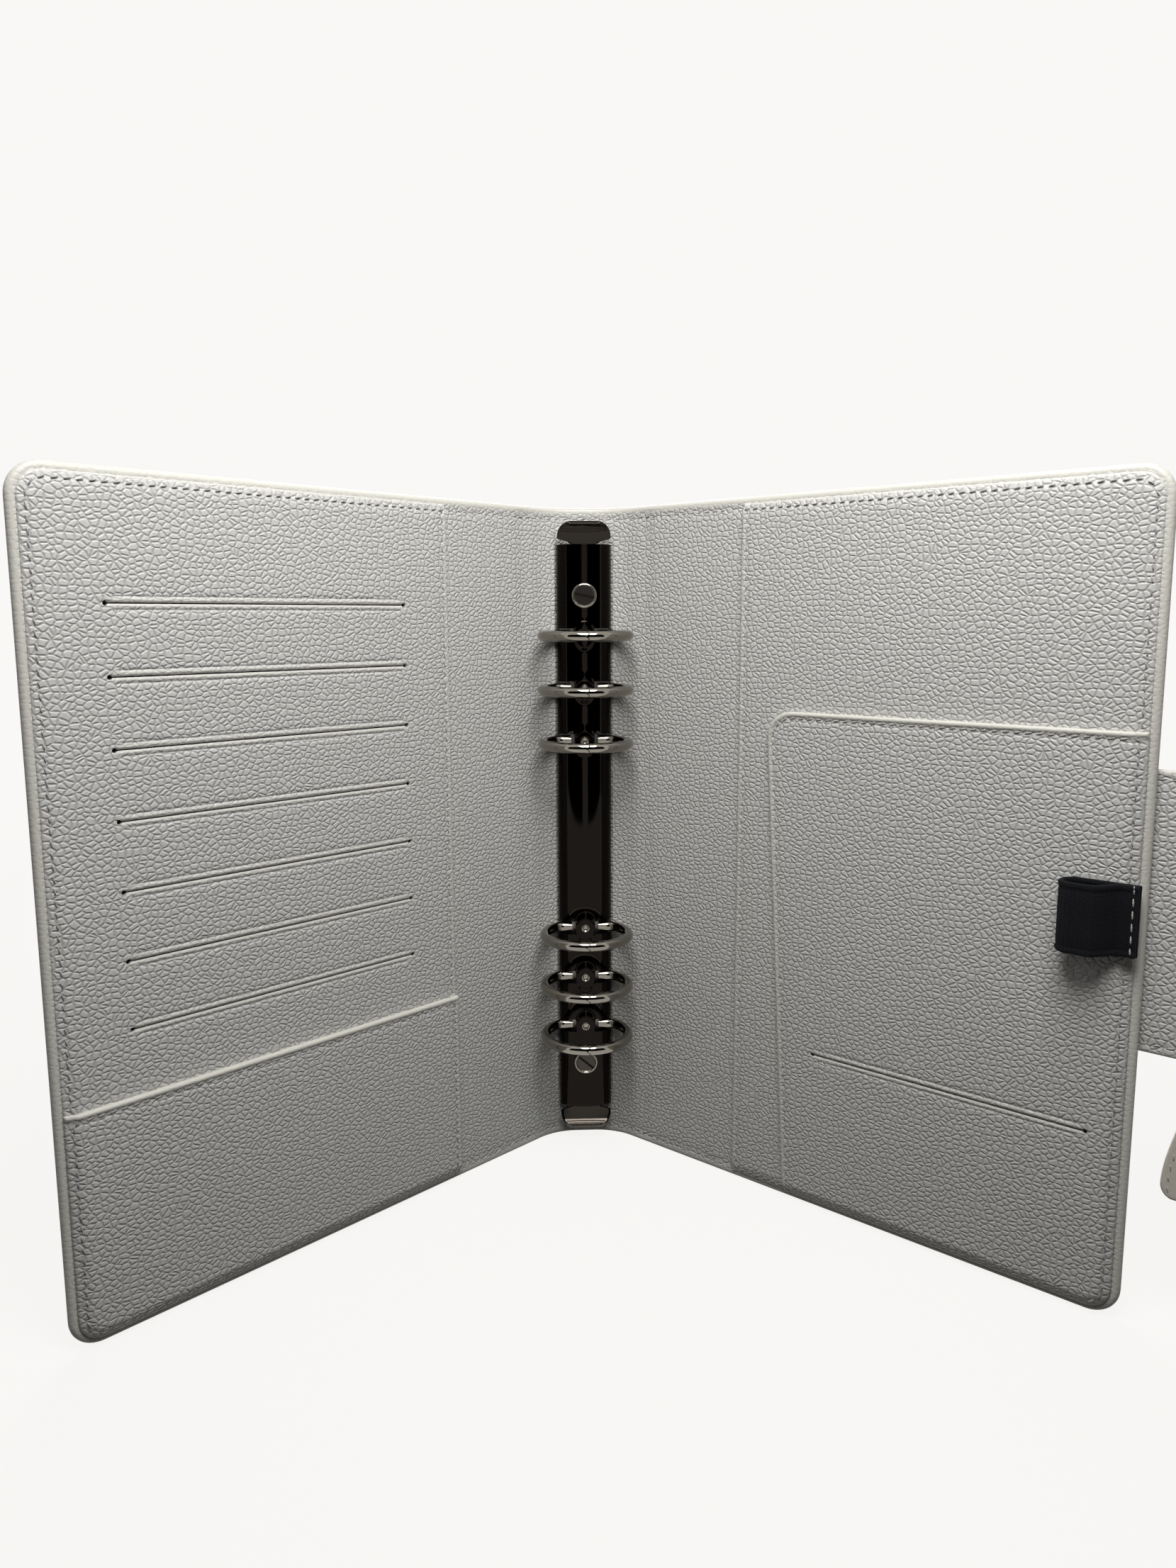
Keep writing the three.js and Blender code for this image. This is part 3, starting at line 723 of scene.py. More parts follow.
@dataclass(frozen=True)
class PlatedMetal:
    """Stamped or drawn steel under a plating, which mirrors the room with faint draw lines."""

    colour: str
    roughness: float
    scratch: float = 0.4
    relief: float = 0.004

    def build(self, name: str) -> bpy.types.Material:
        """Makes the material.

        Args:
            name: The material's name.

        Returns:
            The material.
        """
        material = blank_material(name)
        tree = material.node_tree
        place = add_node(tree, "ShaderNodeTexCoord").outputs["Object"]
        drawn = add_node(
            tree, "ShaderNodeMapping", {}, {"Scale": (1.0, 1.0, 0.08)}, {"Vector": place}
        ).outputs[0]
        marks = add_node(
            tree, "ShaderNodeTexNoise", {}, {"Scale": 1 / (self.scratch * MM), "Detail": 2.0},
            {"Vector": drawn}
        ).outputs[0]
        wear = add_node(
            tree, "ShaderNodeTexNoise", {}, {"Scale": 1 / (18 * MM), "Detail": 3.0}, {"Vector": place}
        ).outputs[0]
        rough = add_node(
            tree, "ShaderNodeMapRange", {},
            {
                "From Min": 0.3, "From Max": 0.7, "To Min": 0.7 * self.roughness,
                "To Max": 1.5 * self.roughness
            },
            {"Value": wear},
        ).outputs[0]
        bump = add_node(
            tree, "ShaderNodeBump", {}, {"Distance": self.relief * MM, "Strength": 0.5}, {"Height": marks}
        )
        shader = add_node(
            tree, "ShaderNodeBsdfPrincipled", {}, {"Base Color": linear(self.colour), "Metallic": 1.0},
            {"Roughness": rough, "Normal": bump.outputs[0]},
        )
        return close_material(material, shader)


@dataclass(frozen=True)
class PaintedSlitShade:
    """Painted shade: a near-black material for strips laid behind the slits, where the pockets' insides are
    only in shade.
    """

    colour: str = "#0D0D0F"

    def build(self, name: str) -> bpy.types.Material:
        """Makes the material, with fine noise in its bump.

        Args:
            name: The material's name.

        Returns:
            The material.
        """
        material = blank_material(name)
        tree = material.node_tree
        place = add_node(tree, "ShaderNodeTexCoord").outputs["Object"]
        bump_noise = add_node(
            tree, "ShaderNodeTexNoise", {}, {"Scale": 1 / (0.3 * MM), "Detail": 3.0}, {"Vector": place}
        )
        bump = add_node(
            tree, "ShaderNodeBump", {}, {"Distance": 0.05 * MM}, {"Height": bump_noise.outputs[0]}
        )
        shader = add_node(
            tree, "ShaderNodeBsdfPrincipled", {}, {"Base Color": linear(self.colour), "Roughness": 0.95},
            {"Normal": bump.outputs[0]},
        )
        return close_material(material, shader)


@dataclass
class Finishes:
    """Every material of the binder, made once."""

    leather: bpy.types.Material = field(init=False)
    smooth: bpy.types.Material = field(init=False)
    thread: bpy.types.Material = field(init=False)
    dark_thread: bpy.types.Material = field(init=False)
    pale_thread: bpy.types.Material = field(init=False)
    elastic: bpy.types.Material = field(init=False)
    rail: bpy.types.Material = field(init=False)
    nickel: bpy.types.Material = field(init=False)
    lever: bpy.types.Material = field(init=False)
    screw: bpy.types.Material = field(init=False)
    steel: bpy.types.Material = field(init=False)
    slit_shade: bpy.types.Material = field(init=False)

    def __post_init__(self) -> None:
        """Builds the materials from their finishes."""
        self.leather = PebbledLeather().build("pebbled_coated_leather")
        self.smooth = SmoothLeather().build("smooth_coated_leather")
        self.thread = Thread("#AFACA5").build("grey_polyester_thread")
        self.dark_thread = Thread("#A8A59E").build("dark_grey_polyester_thread")
        self.pale_thread = Thread("#B9B6AE").build("pale_polyester_thread")
        self.elastic = RibbedElastic().build("woven_black_elastic")
        self.rail = PlatedMetal("#1F1C1A", 0.05).build("black_nickel_plate")
        self.nickel = PlatedMetal("#8E8980", 0.06).build("bright_nickel_plate")
        self.lever = PlatedMetal("#34302C", 0.07).build("dark_nickel_plate")
        self.screw = PlatedMetal("#45413D", 0.3, 0.25, 0.01).build("matt_nickel_plate")
        self.steel = PlatedMetal("#8C8A86", 0.3, 0.3, 0.01).build("cold_rolled_steel")
        # Painted shade for the strips behind the slits.
        self.slit_shade = PaintedSlitShade().build("painted_shade_behind_slits")


# Stitches


class Stitching:
    """Rows of thread, laid by one node tree along paths on the leather."""

    GROUP = "stitch_row"

    def __init__(self) -> None:
        """Builds the node tree that lays one stitch at each step of a path."""
        tree = bpy.data.node_groups.new(self.GROUP, "GeometryNodeTree")
        face = tree.interface
        face.new_socket("Geometry", in_out="INPUT", socket_type="NodeSocketGeometry")
        for name in ("Pitch", "Length", "Width", "Slant"):
            face.new_socket(name, in_out="INPUT", socket_type="NodeSocketFloat")
        face.new_socket("Thread", in_out="INPUT", socket_type="NodeSocketMaterial")
        face.new_socket("Geometry", in_out="OUTPUT", socket_type="NodeSocketGeometry")
        source = add_node(tree, "NodeGroupInput").outputs
        curve = add_node(tree, "GeometryNodeMeshToCurve", links={"Mesh": source["Geometry"]})
        spaced = add_node(
            tree, "GeometryNodeResampleCurve", {"mode": "LENGTH"},
            links={"Curve": curve.outputs[0], "Length": source["Pitch"]}
        )
        bead = add_node(
            tree, "GeometryNodeMeshUVSphere", {}, {"Segments": 6, "Rings": 4, "Radius": 0.5}
        )
        size = add_node(
            tree, "ShaderNodeCombineXYZ", links={0: source["Length"], 1: source["Width"], 2: source["Width"]}
        )
        turned_bead = add_node(
            tree, "GeometryNodeTransform", {}, {"Rotation": (0.0, math.pi / 2, 0.0)},
            {"Geometry": bead.outputs["Mesh"]},
        )
        stitch = add_node(
            tree, "GeometryNodeTransform",
            links={"Geometry": turned_bead.outputs[0], "Scale": size.outputs[0]}
        )
        facing = add_node(
            tree, "GeometryNodeInputNamedAttribute", {"data_type": "FLOAT_VECTOR"}, {"Name": "facing"}
        )
        upright = add_node(
            tree, "FunctionNodeAlignRotationToVector", {"axis": "Z"}, links={"Vector": facing.outputs[0]}
        )
        tangent = add_node(tree, "GeometryNodeInputTangent")
        along = add_node(
            tree, "FunctionNodeAlignRotationToVector", {"axis": "X", "pivot_axis": "Z"},
            links={"Rotation": upright.outputs[0], "Vector": tangent.outputs[0]},
        )
        lean = add_node(
            tree, "FunctionNodeAxisAngleToRotation", {}, {"Axis": (0.0, 0.0, 1.0)},
            {"Angle": source["Slant"]}
        )
        slanted = add_node(
            tree, "FunctionNodeRotateRotation", {"rotation_space": "LOCAL"},
            links={"Rotation": along.outputs[0], "Rotate By": lean.outputs[0]},
        )
        rows = add_node(
            tree, "GeometryNodeInstanceOnPoints",
            links={
                "Points": spaced.outputs[0], "Instance": stitch.outputs[0], "Rotation": slanted.outputs[0],
            },
        )
        real = add_node(tree, "GeometryNodeRealizeInstances", links={0: rows.outputs[0]})
        smooth = add_node(tree, "GeometryNodeSetShadeSmooth", links={0: real.outputs[0]})
        dyed = add_node(
            tree, "GeometryNodeSetMaterial",
            links={"Geometry": smooth.outputs[0], "Material": source["Thread"]}
        )
        add_node(tree, "NodeGroupOutput", links={0: dyed.outputs[0]})
        self.tree = tree

    def lay(
        self,
        name: str,
        rows: Sequence[tuple[Array, Array]],
        thread: bpy.types.Material,
        pitch: float = 3.1,
        length: float = 2.1,
        width: float = 0.52,
        slant: float = 0.22,
    ) -> bpy.types.Object:
        """Lays stitches along rows.

        Args:
            name: The piece's name.
            rows: For each row its points in millimetres and the way that the leather faces there.
            thread: Material of the thread.
            pitch: Space from one stitch to the next.
            length: Length of one stitch.
            width: Thickness of the thread.
            slant: Turn of each stitch out of the row, in radians.

        Returns:
            One piece that holds every stitch.
        """
        mesh = bpy.data.meshes.new(name)
        points = np.concatenate([row for row, _ in rows])
        facing = np.concatenate([way for _, way in rows])
        edges = []
        start = 0
        for row, _ in rows:
            edges.extend((start + k, start + k + 1) for k in range(len(row) - 1))
            start += len(row)
        mesh.from_pydata((points * MM).tolist(), edges, [])
        attribute = mesh.attributes.new("facing", "FLOAT_VECTOR", "POINT")
        attribute.data.foreach_set("vector", facing.astype(np.float32).ravel())
        thing = new_object(name, mesh)
        modifier = thing.modifiers.new("stitches", "NODES")
        modifier.node_group = self.tree
        values = {
            "Pitch": pitch * MM, "Length": length * MM, "Width": width * MM, "Slant": slant,
            "Thread": thread,
        }
        for item in self.tree.interface.items_tree:
            if item.in_out == "INPUT" and item.name in values:
                modifier[item.identifier] = values[item.name]
        baked(thing)
        report(thing)
        return thing


# The leather's bent middle line


@dataclass
class Lay:
    """Where the leather lies: across the spine, round its bend and out along a cover.

    A point is given by its way along the leather from the middle of the spine, by its height
    over the middle of the board towards the pages, and by z.
    """

    hinge: Vector
    angle: float
    bend_radius: float = 21.0
    wing: float = field(init=False)
    flat: float = field(init=False)
    hinge_way: float = field(init=False)

    def __post_init__(self) -> None:
        """Works out the flat stretch and the wing from the hinge's place."""
        sag = self.bend_radius * (1 - math.cos(self.angle))
        self.wing = (-self.hinge.y - sag) / math.sin(self.angle)
        self.flat = self.hinge.x - self.wing * math.cos(self.angle) - self.bend_radius * math.sin(self.angle)
        self.hinge_way = self.flat + self.bend_radius * self.angle + self.wing

    def place(self, side: Side, way: Array, height: Array | float, up: Array) -> Array:
        """Bends points of the flat leather to their place.

        Args:
            side: The half of the binder.
            way: Millimetres along the leather from the middle of the spine.
            height: Millimetres over the board's middle, towards the pages.
            up: Heights in Z.

        Returns:
            Points in millimetres, with one more axis of three.
        """
        way, height, up = np.broadcast_arrays(
            np.asarray(way, float), np.asarray(height, float), np.asarray(up, float)
        )
        turn = np.clip((way - self.flat) / self.bend_radius, 0.0, self.angle)
        straight = np.maximum(way - self.flat - self.bend_radius * self.angle, 0.0)
        x = np.minimum(way, self.flat) + self.bend_radius * np.sin(turn) + straight * np.cos(turn)
        y = -self.bend_radius * (1 - np.cos(turn)) - straight * np.sin(turn)
        x = x - height * np.sin(turn)
        y = y - height * np.cos(turn)
        return np.stack([side.value * x, y, up], axis=-1)

    def facing(self, side: Side, way: Array, inwards: bool = True) -> Array:
        """The way that the leather faces at each point, as unit vectors.

        Args:
            side: The half of the binder.
            way: Millimetres along the leather from the spine's middle.
            inwards: Whether the face towards the pages is meant.

        Returns:
            Unit vectors, on one more axis of three.
        """
        turn = np.clip((np.asarray(way, float) - self.flat) / self.bend_radius, 0.0, self.angle)
        sign = 1.0 if inwards else -1.0
        return np.stack(
            [-side.value * sign * np.sin(turn), -sign * np.cos(turn), np.zeros_like(turn)], axis=-1
        )

    def cover_point(self, side: Side, along: float, height: float, up: float) -> Array:
        """One point of a cover, along measured from its hinge."""
        return self.place(side, np.array(self.hinge_way + along), height, np.array(up))


@dataclass
class Outline:
    """A rounded rectangle on the flat leather, and the insets of a grid on it.

    corners holds the radii at foot left, foot right, head right and head left.
    """

    left: float
    right: float
    foot: float
    head: float
    corners: tuple[float, float, float, float]

    def grid(
        self,
        insets: Sequence[float],
        step: float,
        more_ways: Sequence[float] = (),
        more_heights: Sequence[float] = (),
        open_left: bool = False,
    ) -> tuple[Array, Array, dict[str, Array]]:
        """Lays a grid over the outline, with lines that follow its rim.

        Args:
            insets: Distances from the rim that get a line.
            step: Widest space between two lines.
            more_ways: More upright lines.
            more_heights: More level lines.
            open_left: Leaves the rim's lines out at the left side.

        Returns:
            Ways and heights of the points, and their distance from each side.
        """
        near = [] if open_left else [self.left + d for d in insets]
        ways = lines(self.left, self.right, step, [*near, *(self.right - d for d in insets), *more_ways])
        heights = lines(
            self.foot, self.head, step,
            [*(self.foot + d for d in insets), *(self.head - d for d in insets), *more_heights],
        )
        way, up = np.meshgrid(ways, heights)
        inset = {
            "left": way - self.left, "right": self.right - way, "foot": up - self.foot,
            "head": self.head - up,
        }
        shifts = [
            ("left", "foot", 1, 1), ("right", "foot", -1, 1), ("right", "head", -1, -1),
            ("left", "head", 1, -1),
        ]
        for radius, (beside, above, sign_way, sign_up) in zip(self.corners, shifts):
            if radius <= 0:
                continue
            inside = (inset[beside] < radius) & (inset[above] < radius)
            p = radius - inset[beside][inside]
            q = radius - inset[above][inside]
            reach = np.maximum(p, q)
            turn = np.where(
                p >= q, math.pi / 4 * q / np.maximum(p, 1e-9),
                math.pi / 2 - math.pi / 4 * p / np.maximum(q, 1e-9)
            )
            way[inside] += sign_way * (p - reach * np.cos(turn))
            up[inside] += sign_up * (q - reach * np.sin(turn))
        return way, up, inset

    def row(self, inset: float, open_left: bool = False, step: float = 2.0) -> Array:
        """Points of a line inside the rim, from the head left corner round by the right to the foot.

        Args:
            inset: Distance of the line from the rim.
            open_left: Leaves the left side out.
            step: Space between points.

        Returns:
            Ways and heights, two columns.
        """
        marks: list[tuple[float, float]] = []
        left, right = self.left + (0 if open_left else inset), self.right - inset
        foot, head = self.foot + inset, self.head - inset
        corners = [
            (right, head, self.corners[2], 90.0), (right, foot, self.corners[1], 0.0),
            (left, foot, self.corners[0], -90.0), (left, head, self.corners[3], 180.0),
        ]
        square = self.corners[3] <= inset or open_left
        marks.append((left, head) if square else (left + self.corners[3] - inset, head))
        for number, (x, z, radius, first) in enumerate(corners):
            if open_left and number == 2:
                marks.append((left, foot))
                break
            bend = max(radius - inset, 0.0)
            if bend == 0:
                marks.append((x, z))
                continue
            cx = x - bend if number < 2 else x + bend
            cz = z - bend if number in (0, 3) else z + bend
            for k in range(9):
                turn = math.radians(first - 90.0 * k / 8)
                marks.append((cx + bend * math.cos(turn), cz + bend * math.sin(turn)))
        points: list[tuple[float, float]] = []
        for (x0, z0), (x1, z1) in zip(marks, marks[1:]):
            parts = max(1, round(math.hypot(x1 - x0, z1 - z0) / step))
            points.extend((x0 + (x1 - x0) * k / parts, z0 + (z1 - z0) * k / parts) for k in range(parts))
        points.append(marks[-1])
        return np.array(points)


# Leather pieces


@dataclass
class Rolled:
    """The rolled rim of a board: a half round of its thickness, then the groove of the stitches."""

    half: float = 1.5
    stitch_inset: float = 3.9
    groove: float = 0.18
    groove_width: float = 0.9

    def insets(self) -> list[float]:
        """Distances from the rim where the surface needs a line.

        Returns:
            The distances in millimetres.
        """
        arc = [self.half * (1 - math.cos(math.radians(a))) for a in (0, 18, 36, 54, 72, 90)]
        around = [self.stitch_inset + d for d in (-1.4, -0.8, 0.0, 0.8, 1.4)]
        return [*arc, *around, 6.4, 7.6, 9.0]

    def surface(self, distance: Array) -> Array:
        """Height of the surface over the board's middle, by the distance from the rim.

        Args:
            distance: Distances from the rim.

        Returns:
            The heights, of the same shape.
        """
        inside = np.clip(self.half - distance, 0.0, self.half)
        height = np.sqrt(self.half**2 - inside**2)
        return height - self.groove * hump(distance - self.stitch_inset, self.groove_width)


@dataclass
class Covers:
    """The leather over the boards and the spine, with the sheets sewn inside the covers."""

    lay: Lay
    finishes: Finishes
    stitching: Stitching
    width: float
    height: float
    corner: float = 9.0
    rolled: Rolled = field(default_factory=Rolled)
    grid_step: float = 5.0
    rail_press: float = 0.85
    rail_edge: float = 10.3
    rail_edge_fade: float = 1.0
    rail_end: float = 11.0
    rail_end_fade: float = 1.5
    blend_reach: float = 7.0
    sewn_start: float = 34.0

    def outline(self) -> Outline:
        """Half the leather, from the middle of the spine to a fore edge."""
        reach = self.lay.hinge_way + self.width
        return Outline(0.0, reach, 0.0, self.height, (0.0, self.corner, self.corner, 0.0))

    def skin(self, side: Side, name: str) -> bpy.types.Object:
        """Builds one half of the leather with its boards.

        Args:
            side: The half to build.
            name: The piece's name.

        Returns:
            The piece.
        """
        bend = [self.lay.flat + self.lay.bend_radius * self.lay.angle * k / 8 for k in range(9)]
        hinge = [self.lay.hinge_way + 1.4 * k for k in range(-6, 7)]
        rail = [self.rail_edge + share * self.rail_edge_fade for share in (0.0, 0.5, 1.0)]
        way, up, inset = self.outline().grid(
            self.rolled.insets(), self.grid_step, [*bend, *rail, *hinge], open_left=True
        )
        distance = np.minimum(np.minimum(inset["right"], inset["foot"]), inset["head"])
        height = self.rolled.surface(distance)
        dip = 0.35 * hump(way - self.lay.hinge_way, 3.0) * smoothstep(0.5, 3.0, distance)
        seat = 1 - smoothstep(self.rail_edge, self.rail_edge + self.rail_edge_fade, way)
        for gap in (up, self.height - up):
            seat = seat * smoothstep(self.rail_end, self.rail_end + self.rail_end_fade, gap)
        front = self.lay.place(side, way, height - dip - self.rail_press * seat, up)
        back = self.lay.place(side, way, -height + dip, up)
        rim = 1 - smoothstep(1.9, 2.8, distance)
        sheet = np.stack([side.value * way, up], axis=-1)
        piece = shell(name, front, back, sheet=sheet, marks={"rim": rim})
        piece.data.materials.append(self.finishes.leather)
        return piece

    def blend(self, piece: bpy.types.Object, side: Side) -> bpy.types.Object:
        """Bakes a piece's transform into its mesh; the points on either side of the hinge are worked out,
        but no bend is made.

        Args:
            piece: The piece.
            side: The half that it lies on.

        Returns:
            The piece.
        """
        start, end = (
            self.lay.cover_point(side, reach, 0.0, self.height / 2) * MM
            for reach in (-self.blend_reach, self.blend_reach)
        )
        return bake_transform(piece)

    def skin_stitches(self, side: Side, name: str) -> bpy.types.Object:
        """Sews the rim of one half: all round outside, and inside as far as the sewn sheets.

        Args:
            side: The half to sew.
            name: The piece's name.

        Returns:
            The stitches.
        """
        line = self.outline().row(self.rolled.stitch_inset, open_left=True)
        level = float(self.rolled.surface(np.array(self.rolled.stitch_inset)))
        rows = [(
            self.lay.place(side, line[:, 0], -level, line[:, 1]),
            self.lay.facing(side, line[:, 0], inwards=False),
        )]
        inner_end = self.lay.hinge_way + self.sewn_start
        ways = np.arange(0.0, inner_end, 2.0)
        for height in (self.rolled.stitch_inset, self.height - self.rolled.stitch_inset):
            rows.append((
                self.lay.place(side, ways, level, np.full_like(ways, height)),
                self.lay.facing(side, ways),
            ))
        return self.stitching.lay(name, rows, self.finishes.thread)

    def build(self) -> None:
        """Builds both halves of the leather and sews them."""
        for side, word, nodes in (
            (Side.FRONT, "front", ("front_cover_shell", "spine_shell")),
            (Side.BACK, "back", ("back_cover_shell",)),
        ):
            skin = self.skin(side, f"{word}_leather")
            self.blend(skin, side)
            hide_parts(*nodes)
            sewn = self.skin_stitches(side, f"{word}_leather_stitches")
            self.blend(sewn, side)
            report(skin)


@dataclass
class Slit:
    """A level slit through a sheet, with a punched hole at each end and a pressed line beside it."""

    start: float
    end: float
    height: float
    width: float = 0.34
    hole_radius: float = 0.7
    line_space: float = 1.75

    def heights(self) -> list[float]:
        """Heights where the sheet's surface needs a line."""
        beside = [0.3, 0.6, 0.95, 1.35, 1.75, 2.15, 2.6, 3.4]
        return [self.height, *(self.height + s * d for d in beside for s in (-1, 1))]

    def ways(self) -> list[float]:
        """Ways where the sheet's surface needs a line."""
        around = [-3.0, -1.8, -1.2, -0.6, 0.0, 0.6, 1.2, 1.8, 3.0]
        return [edge + d for edge in (self.start, self.end) for d in around]

    def along(self, way: Array, reach: float) -> Array:
        """1 along the slit, eased to 0 over a reach past its ends."""
        entered = smoothstep(self.start - reach, self.start, way)
        return entered * (1 - smoothstep(self.end, self.end + reach, way))

    def relief(self, way: Array, up: Array) -> Array:
        """How far the surface sinks or swells around the slit.

        Args:
            way: Ways of the points.
            up: Their heights in Z.

        Returns:
            Millimetres, below 0 where it sinks.
        """
        off = up - self.height
        along = self.along(way, 1.2)
        grooved = smoothstep(self.start + 1.0, self.start + 2.5, way) * (
            1 - smoothstep(self.end - 2.5, self.end - 1.0, way)
        )
        lips = -0.3 * hump(off, 0.4) + 0.12 * hump(np.abs(off) - 0.8, 0.4)
        pressed = -0.26 * hump(np.abs(off) - self.line_space, 0.34)
        holes = sum(
            -0.2 * hump(np.hypot(way - edge, off), 1.1) for edge in (self.start, self.end)
        )
        return lips * along + pressed * grooved + holes

    def rim(self, way: Array, up: Array) -> Array:
        """How much the leather shows its smooth cut or pressed tone around the slit.

        Args:
            way: Ways of the points.
            up: Their heights in Z.

        Returns:
            0 for pebbles to 1 for smooth leather.
        """
        off = np.abs(up - self.height)
        bands = 0.45 * (1 - smoothstep(0.4, 0.8, off)) + 0.5 * (1 - smoothstep(1.3, 1.7, off))
        return bands * self.along(way, 0.8)

    def tools(
        self, place: Callable[[Array, Array | float, Array], Array], low: float, high: float
    ) -> list[bpy.types.Object]:
        """Closed cutters for the slit and its two holes.

        Args:
            place: Gives a point's place from its way, height over the board and z.
            low: Where the cutters start over the board's middle.
            high: Where they end.

        Returns:
            The cutters.
        """
        half = self.width / 2
        cutters = []
        shapes = [[(self.start, -half), (self.end, -half), (self.end, half), (self.start, half)]]
        turns = [2 * math.pi * k / 14 for k in range(14)]
        for edge in (self.start, self.end):
            shapes.append([
                (edge + self.hole_radius * math.cos(t), self.hole_radius * math.sin(t)) for t in turns
            ])
        for number, shape in enumerate(shapes):
            way = np.array([p[0] for p in shape])
            up = np.array([p[1] for p in shape]) + self.height
            count = len(shape)
            points = np.concatenate(
                [place(way, low - 0.01 * number, up), place(way, high + 0.01 * number, up)]
            )
            faces = [tuple(range(count)), tuple(range(count, 2 * count))]
            faces += [(k, (k + 1) % count, count + (k + 1) % count, count + k) for k in range(count)]
            sheet = np.stack([way, up], axis=-1).repeat(2, 0)
            cutters.append(solid("cutter", points, faces, sheet, {"rim": np.ones(2 * count)}))
        return cutters


@dataclass
class Sheet:
    """A sheet sewn inside a cover, its sides measured from the hinge.

    layer is 1 on the board's lining and 2 on another sheet. lean moves the head's left end.
    """

    name: str
    side: Side
    start: float
    head: float
    layer: int
    lean: float = 0.0
    head_fold: Fold = Fold.SEWN
    start_fold: Fold = Fold.TURNED
    head_start_corner: float = 0.0
    slits: tuple[Slit, ...] = ()
    inset: float = 2.1
    board: float = 1.5
    thickness: float = 1.3
    edge_share: float = 0.42
    fade: float = 3.4
    rim_width: float = 1.7
    start_bead: float = 0.45
    rim_rise: float = 0.28
    stitch_inset: float = 2.0
    turned_stitch_inset: float = 2.3

    def build(self, covers: Covers) -> bpy.types.Object:
        """Builds the sheet, sews it and joins both to the cover.

        Args:
            covers: The leather that carries the sheet.

        Returns:
            The sheet.
        """
        lay, base = covers.lay, covers.lay.hinge_way
        head_corner = covers.corner - self.inset if self.head > covers.height - covers.corner else 0.0
        outline = Outline(
            base + self.start, base + covers.width - self.inset, self.inset, self.head,
            (0.0, covers.corner - self.inset, head_corner, self.head_start_corner),
        )
        insets = [0.0, 0.12, 0.35, 0.7, 1.1, 1.5, 2.0, 2.5, 3.1, 4.2, 5.6, 6.9]
        slits = [Slit(s.start + base, s.end + base, s.height, s.width) for s in self.slits]
        way, up, inset = outline.grid(
            insets, 4.0, [w for s in slits for w in s.ways()], [h for s in slits for h in s.heights()]
        )
        sewn = np.minimum(inset["right"], inset["foot"])
        free = np.full_like(sewn, 1e3)
        bead = np.zeros_like(sewn)
        for fold, gap, share in (
            (self.head_fold, inset["head"], 1.0), (self.start_fold, inset["left"], self.start_bead),
        ):
            if fold is Fold.SEWN:
                sewn = np.minimum(sewn, gap)
            else:
                free = np.minimum(free, gap)
                bead = np.maximum(bead, share * (1 - smoothstep(0.55 * self.rim_width, self.rim_width, gap)))
        across = (outline.right - way) / (outline.right - outline.left)
        way = way - across * self.lean * (up - self.inset) / (self.head - self.inset)

        def level(layer: int) -> Array:
            """Height of the top of a layer, pressed thin towards its sewn rim."""
            share = self.edge_share + (1 - self.edge_share) * smoothstep(0.0, self.fade, sewn)
            return self.board + layer * self.thickness * share

        round_edge = 0.75
        drop = np.clip(round_edge - np.minimum(sewn, free), 0.0, round_edge)
        fall = round_edge - np.sqrt(round_edge**2 - drop**2)
        top = level(self.layer) - fall
        top = top + self.rim_rise * bead
        top = top - 0.2 * hump(free - self.turned_stitch_inset, 0.55)
        top = top - 0.16 * hump(sewn - self.stitch_inset, 0.8)
        rim = np.maximum(bead, 0.5 * (1 - smoothstep(0.4, 0.9, sewn)))
        for slit in slits:
            top = top + slit.relief(way, up)
            rim = np.maximum(rim, slit.rim(way, up))
        bottom = level(self.layer - 1) + 0.06
        bottom = np.minimum(bottom, top - 0.12)
        piece = shell(
            self.name, lay.place(self.side, way, top, up), lay.place(self.side, way, bottom, up),
            sheet=np.stack([self.side.value * way + 11.0 * self.layer, up + 7.0 * self.layer], axis=-1),
            marks={"rim": np.clip(rim, 0.0, 1.0)},
        )
        if slits:
            low, high = self.board - 0.5, self.board + self.layer * self.thickness + 1.5
            low = low if self.layer == 1 else self.board + self.thickness * (self.layer - 1) - 0.25
            tools = [
                t for s in slits
                for t in s.tools(lambda w, h, z: lay.place(self.side, w, h, z), low, high)
            ]
            carved(piece, tools)
        piece.data.materials.clear()
        piece.data.materials.append(covers.finishes.leather)
        body = "front_cover" if self.side is Side.FRONT else "back_cover"
        self._sew(covers, outline, body)
        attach(piece, body)
        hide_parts(self.name.removesuffix("_leather"))
        report(piece)
        return piece

    def _sew(self, covers: Covers, outline: Outline, body: str) -> None:
        """Lays the row of stitches inside the rim of the sheet.

        Args:
            covers: The leather that carries the sheet.
            outline: The sheet's outline before it leans.
            body: The cover's body.
        """
        line = outline.row(self.stitch_inset)
        across = (outline.right - line[:, 0]) / (outline.right - outline.left)
        ways = line[:, 0] - across * self.lean * (line[:, 1] - self.inset) / (self.head - self.inset)
        ease = float(smoothstep(0.0, self.fade, self.stitch_inset))
        share = self.edge_share + (1 - self.edge_share) * ease
        rest = self.board + self.layer * self.thickness
        pressed = self.board + self.layer * self.thickness * share
        gap_free = np.full(len(line), 1e3)
        if self.start_fold is Fold.TURNED:
            gap_free = np.minimum(gap_free, line[:, 0] - outline.left)
        if self.head_fold is Fold.TURNED:
            gap_free = np.minimum(gap_free, outline.head - line[:, 1])
        sewn_gap = np.minimum(outline.right - line[:, 0], line[:, 1] - outline.foot)
        level = np.where(sewn_gap < self.stitch_inset + 0.5, pressed, rest) - 0.05
        level = np.where((gap_free < self.stitch_inset + 0.5) & (sewn_gap > self.fade), rest - 0.08, level)
        rows = [(covers.lay.place(self.side, ways, level, line[:, 1]), covers.lay.facing(self.side, ways))]
        sewn = covers.stitching.lay(f"{self.name}_stitches", rows, covers.finishes.dark_thread)
        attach(sewn, body)


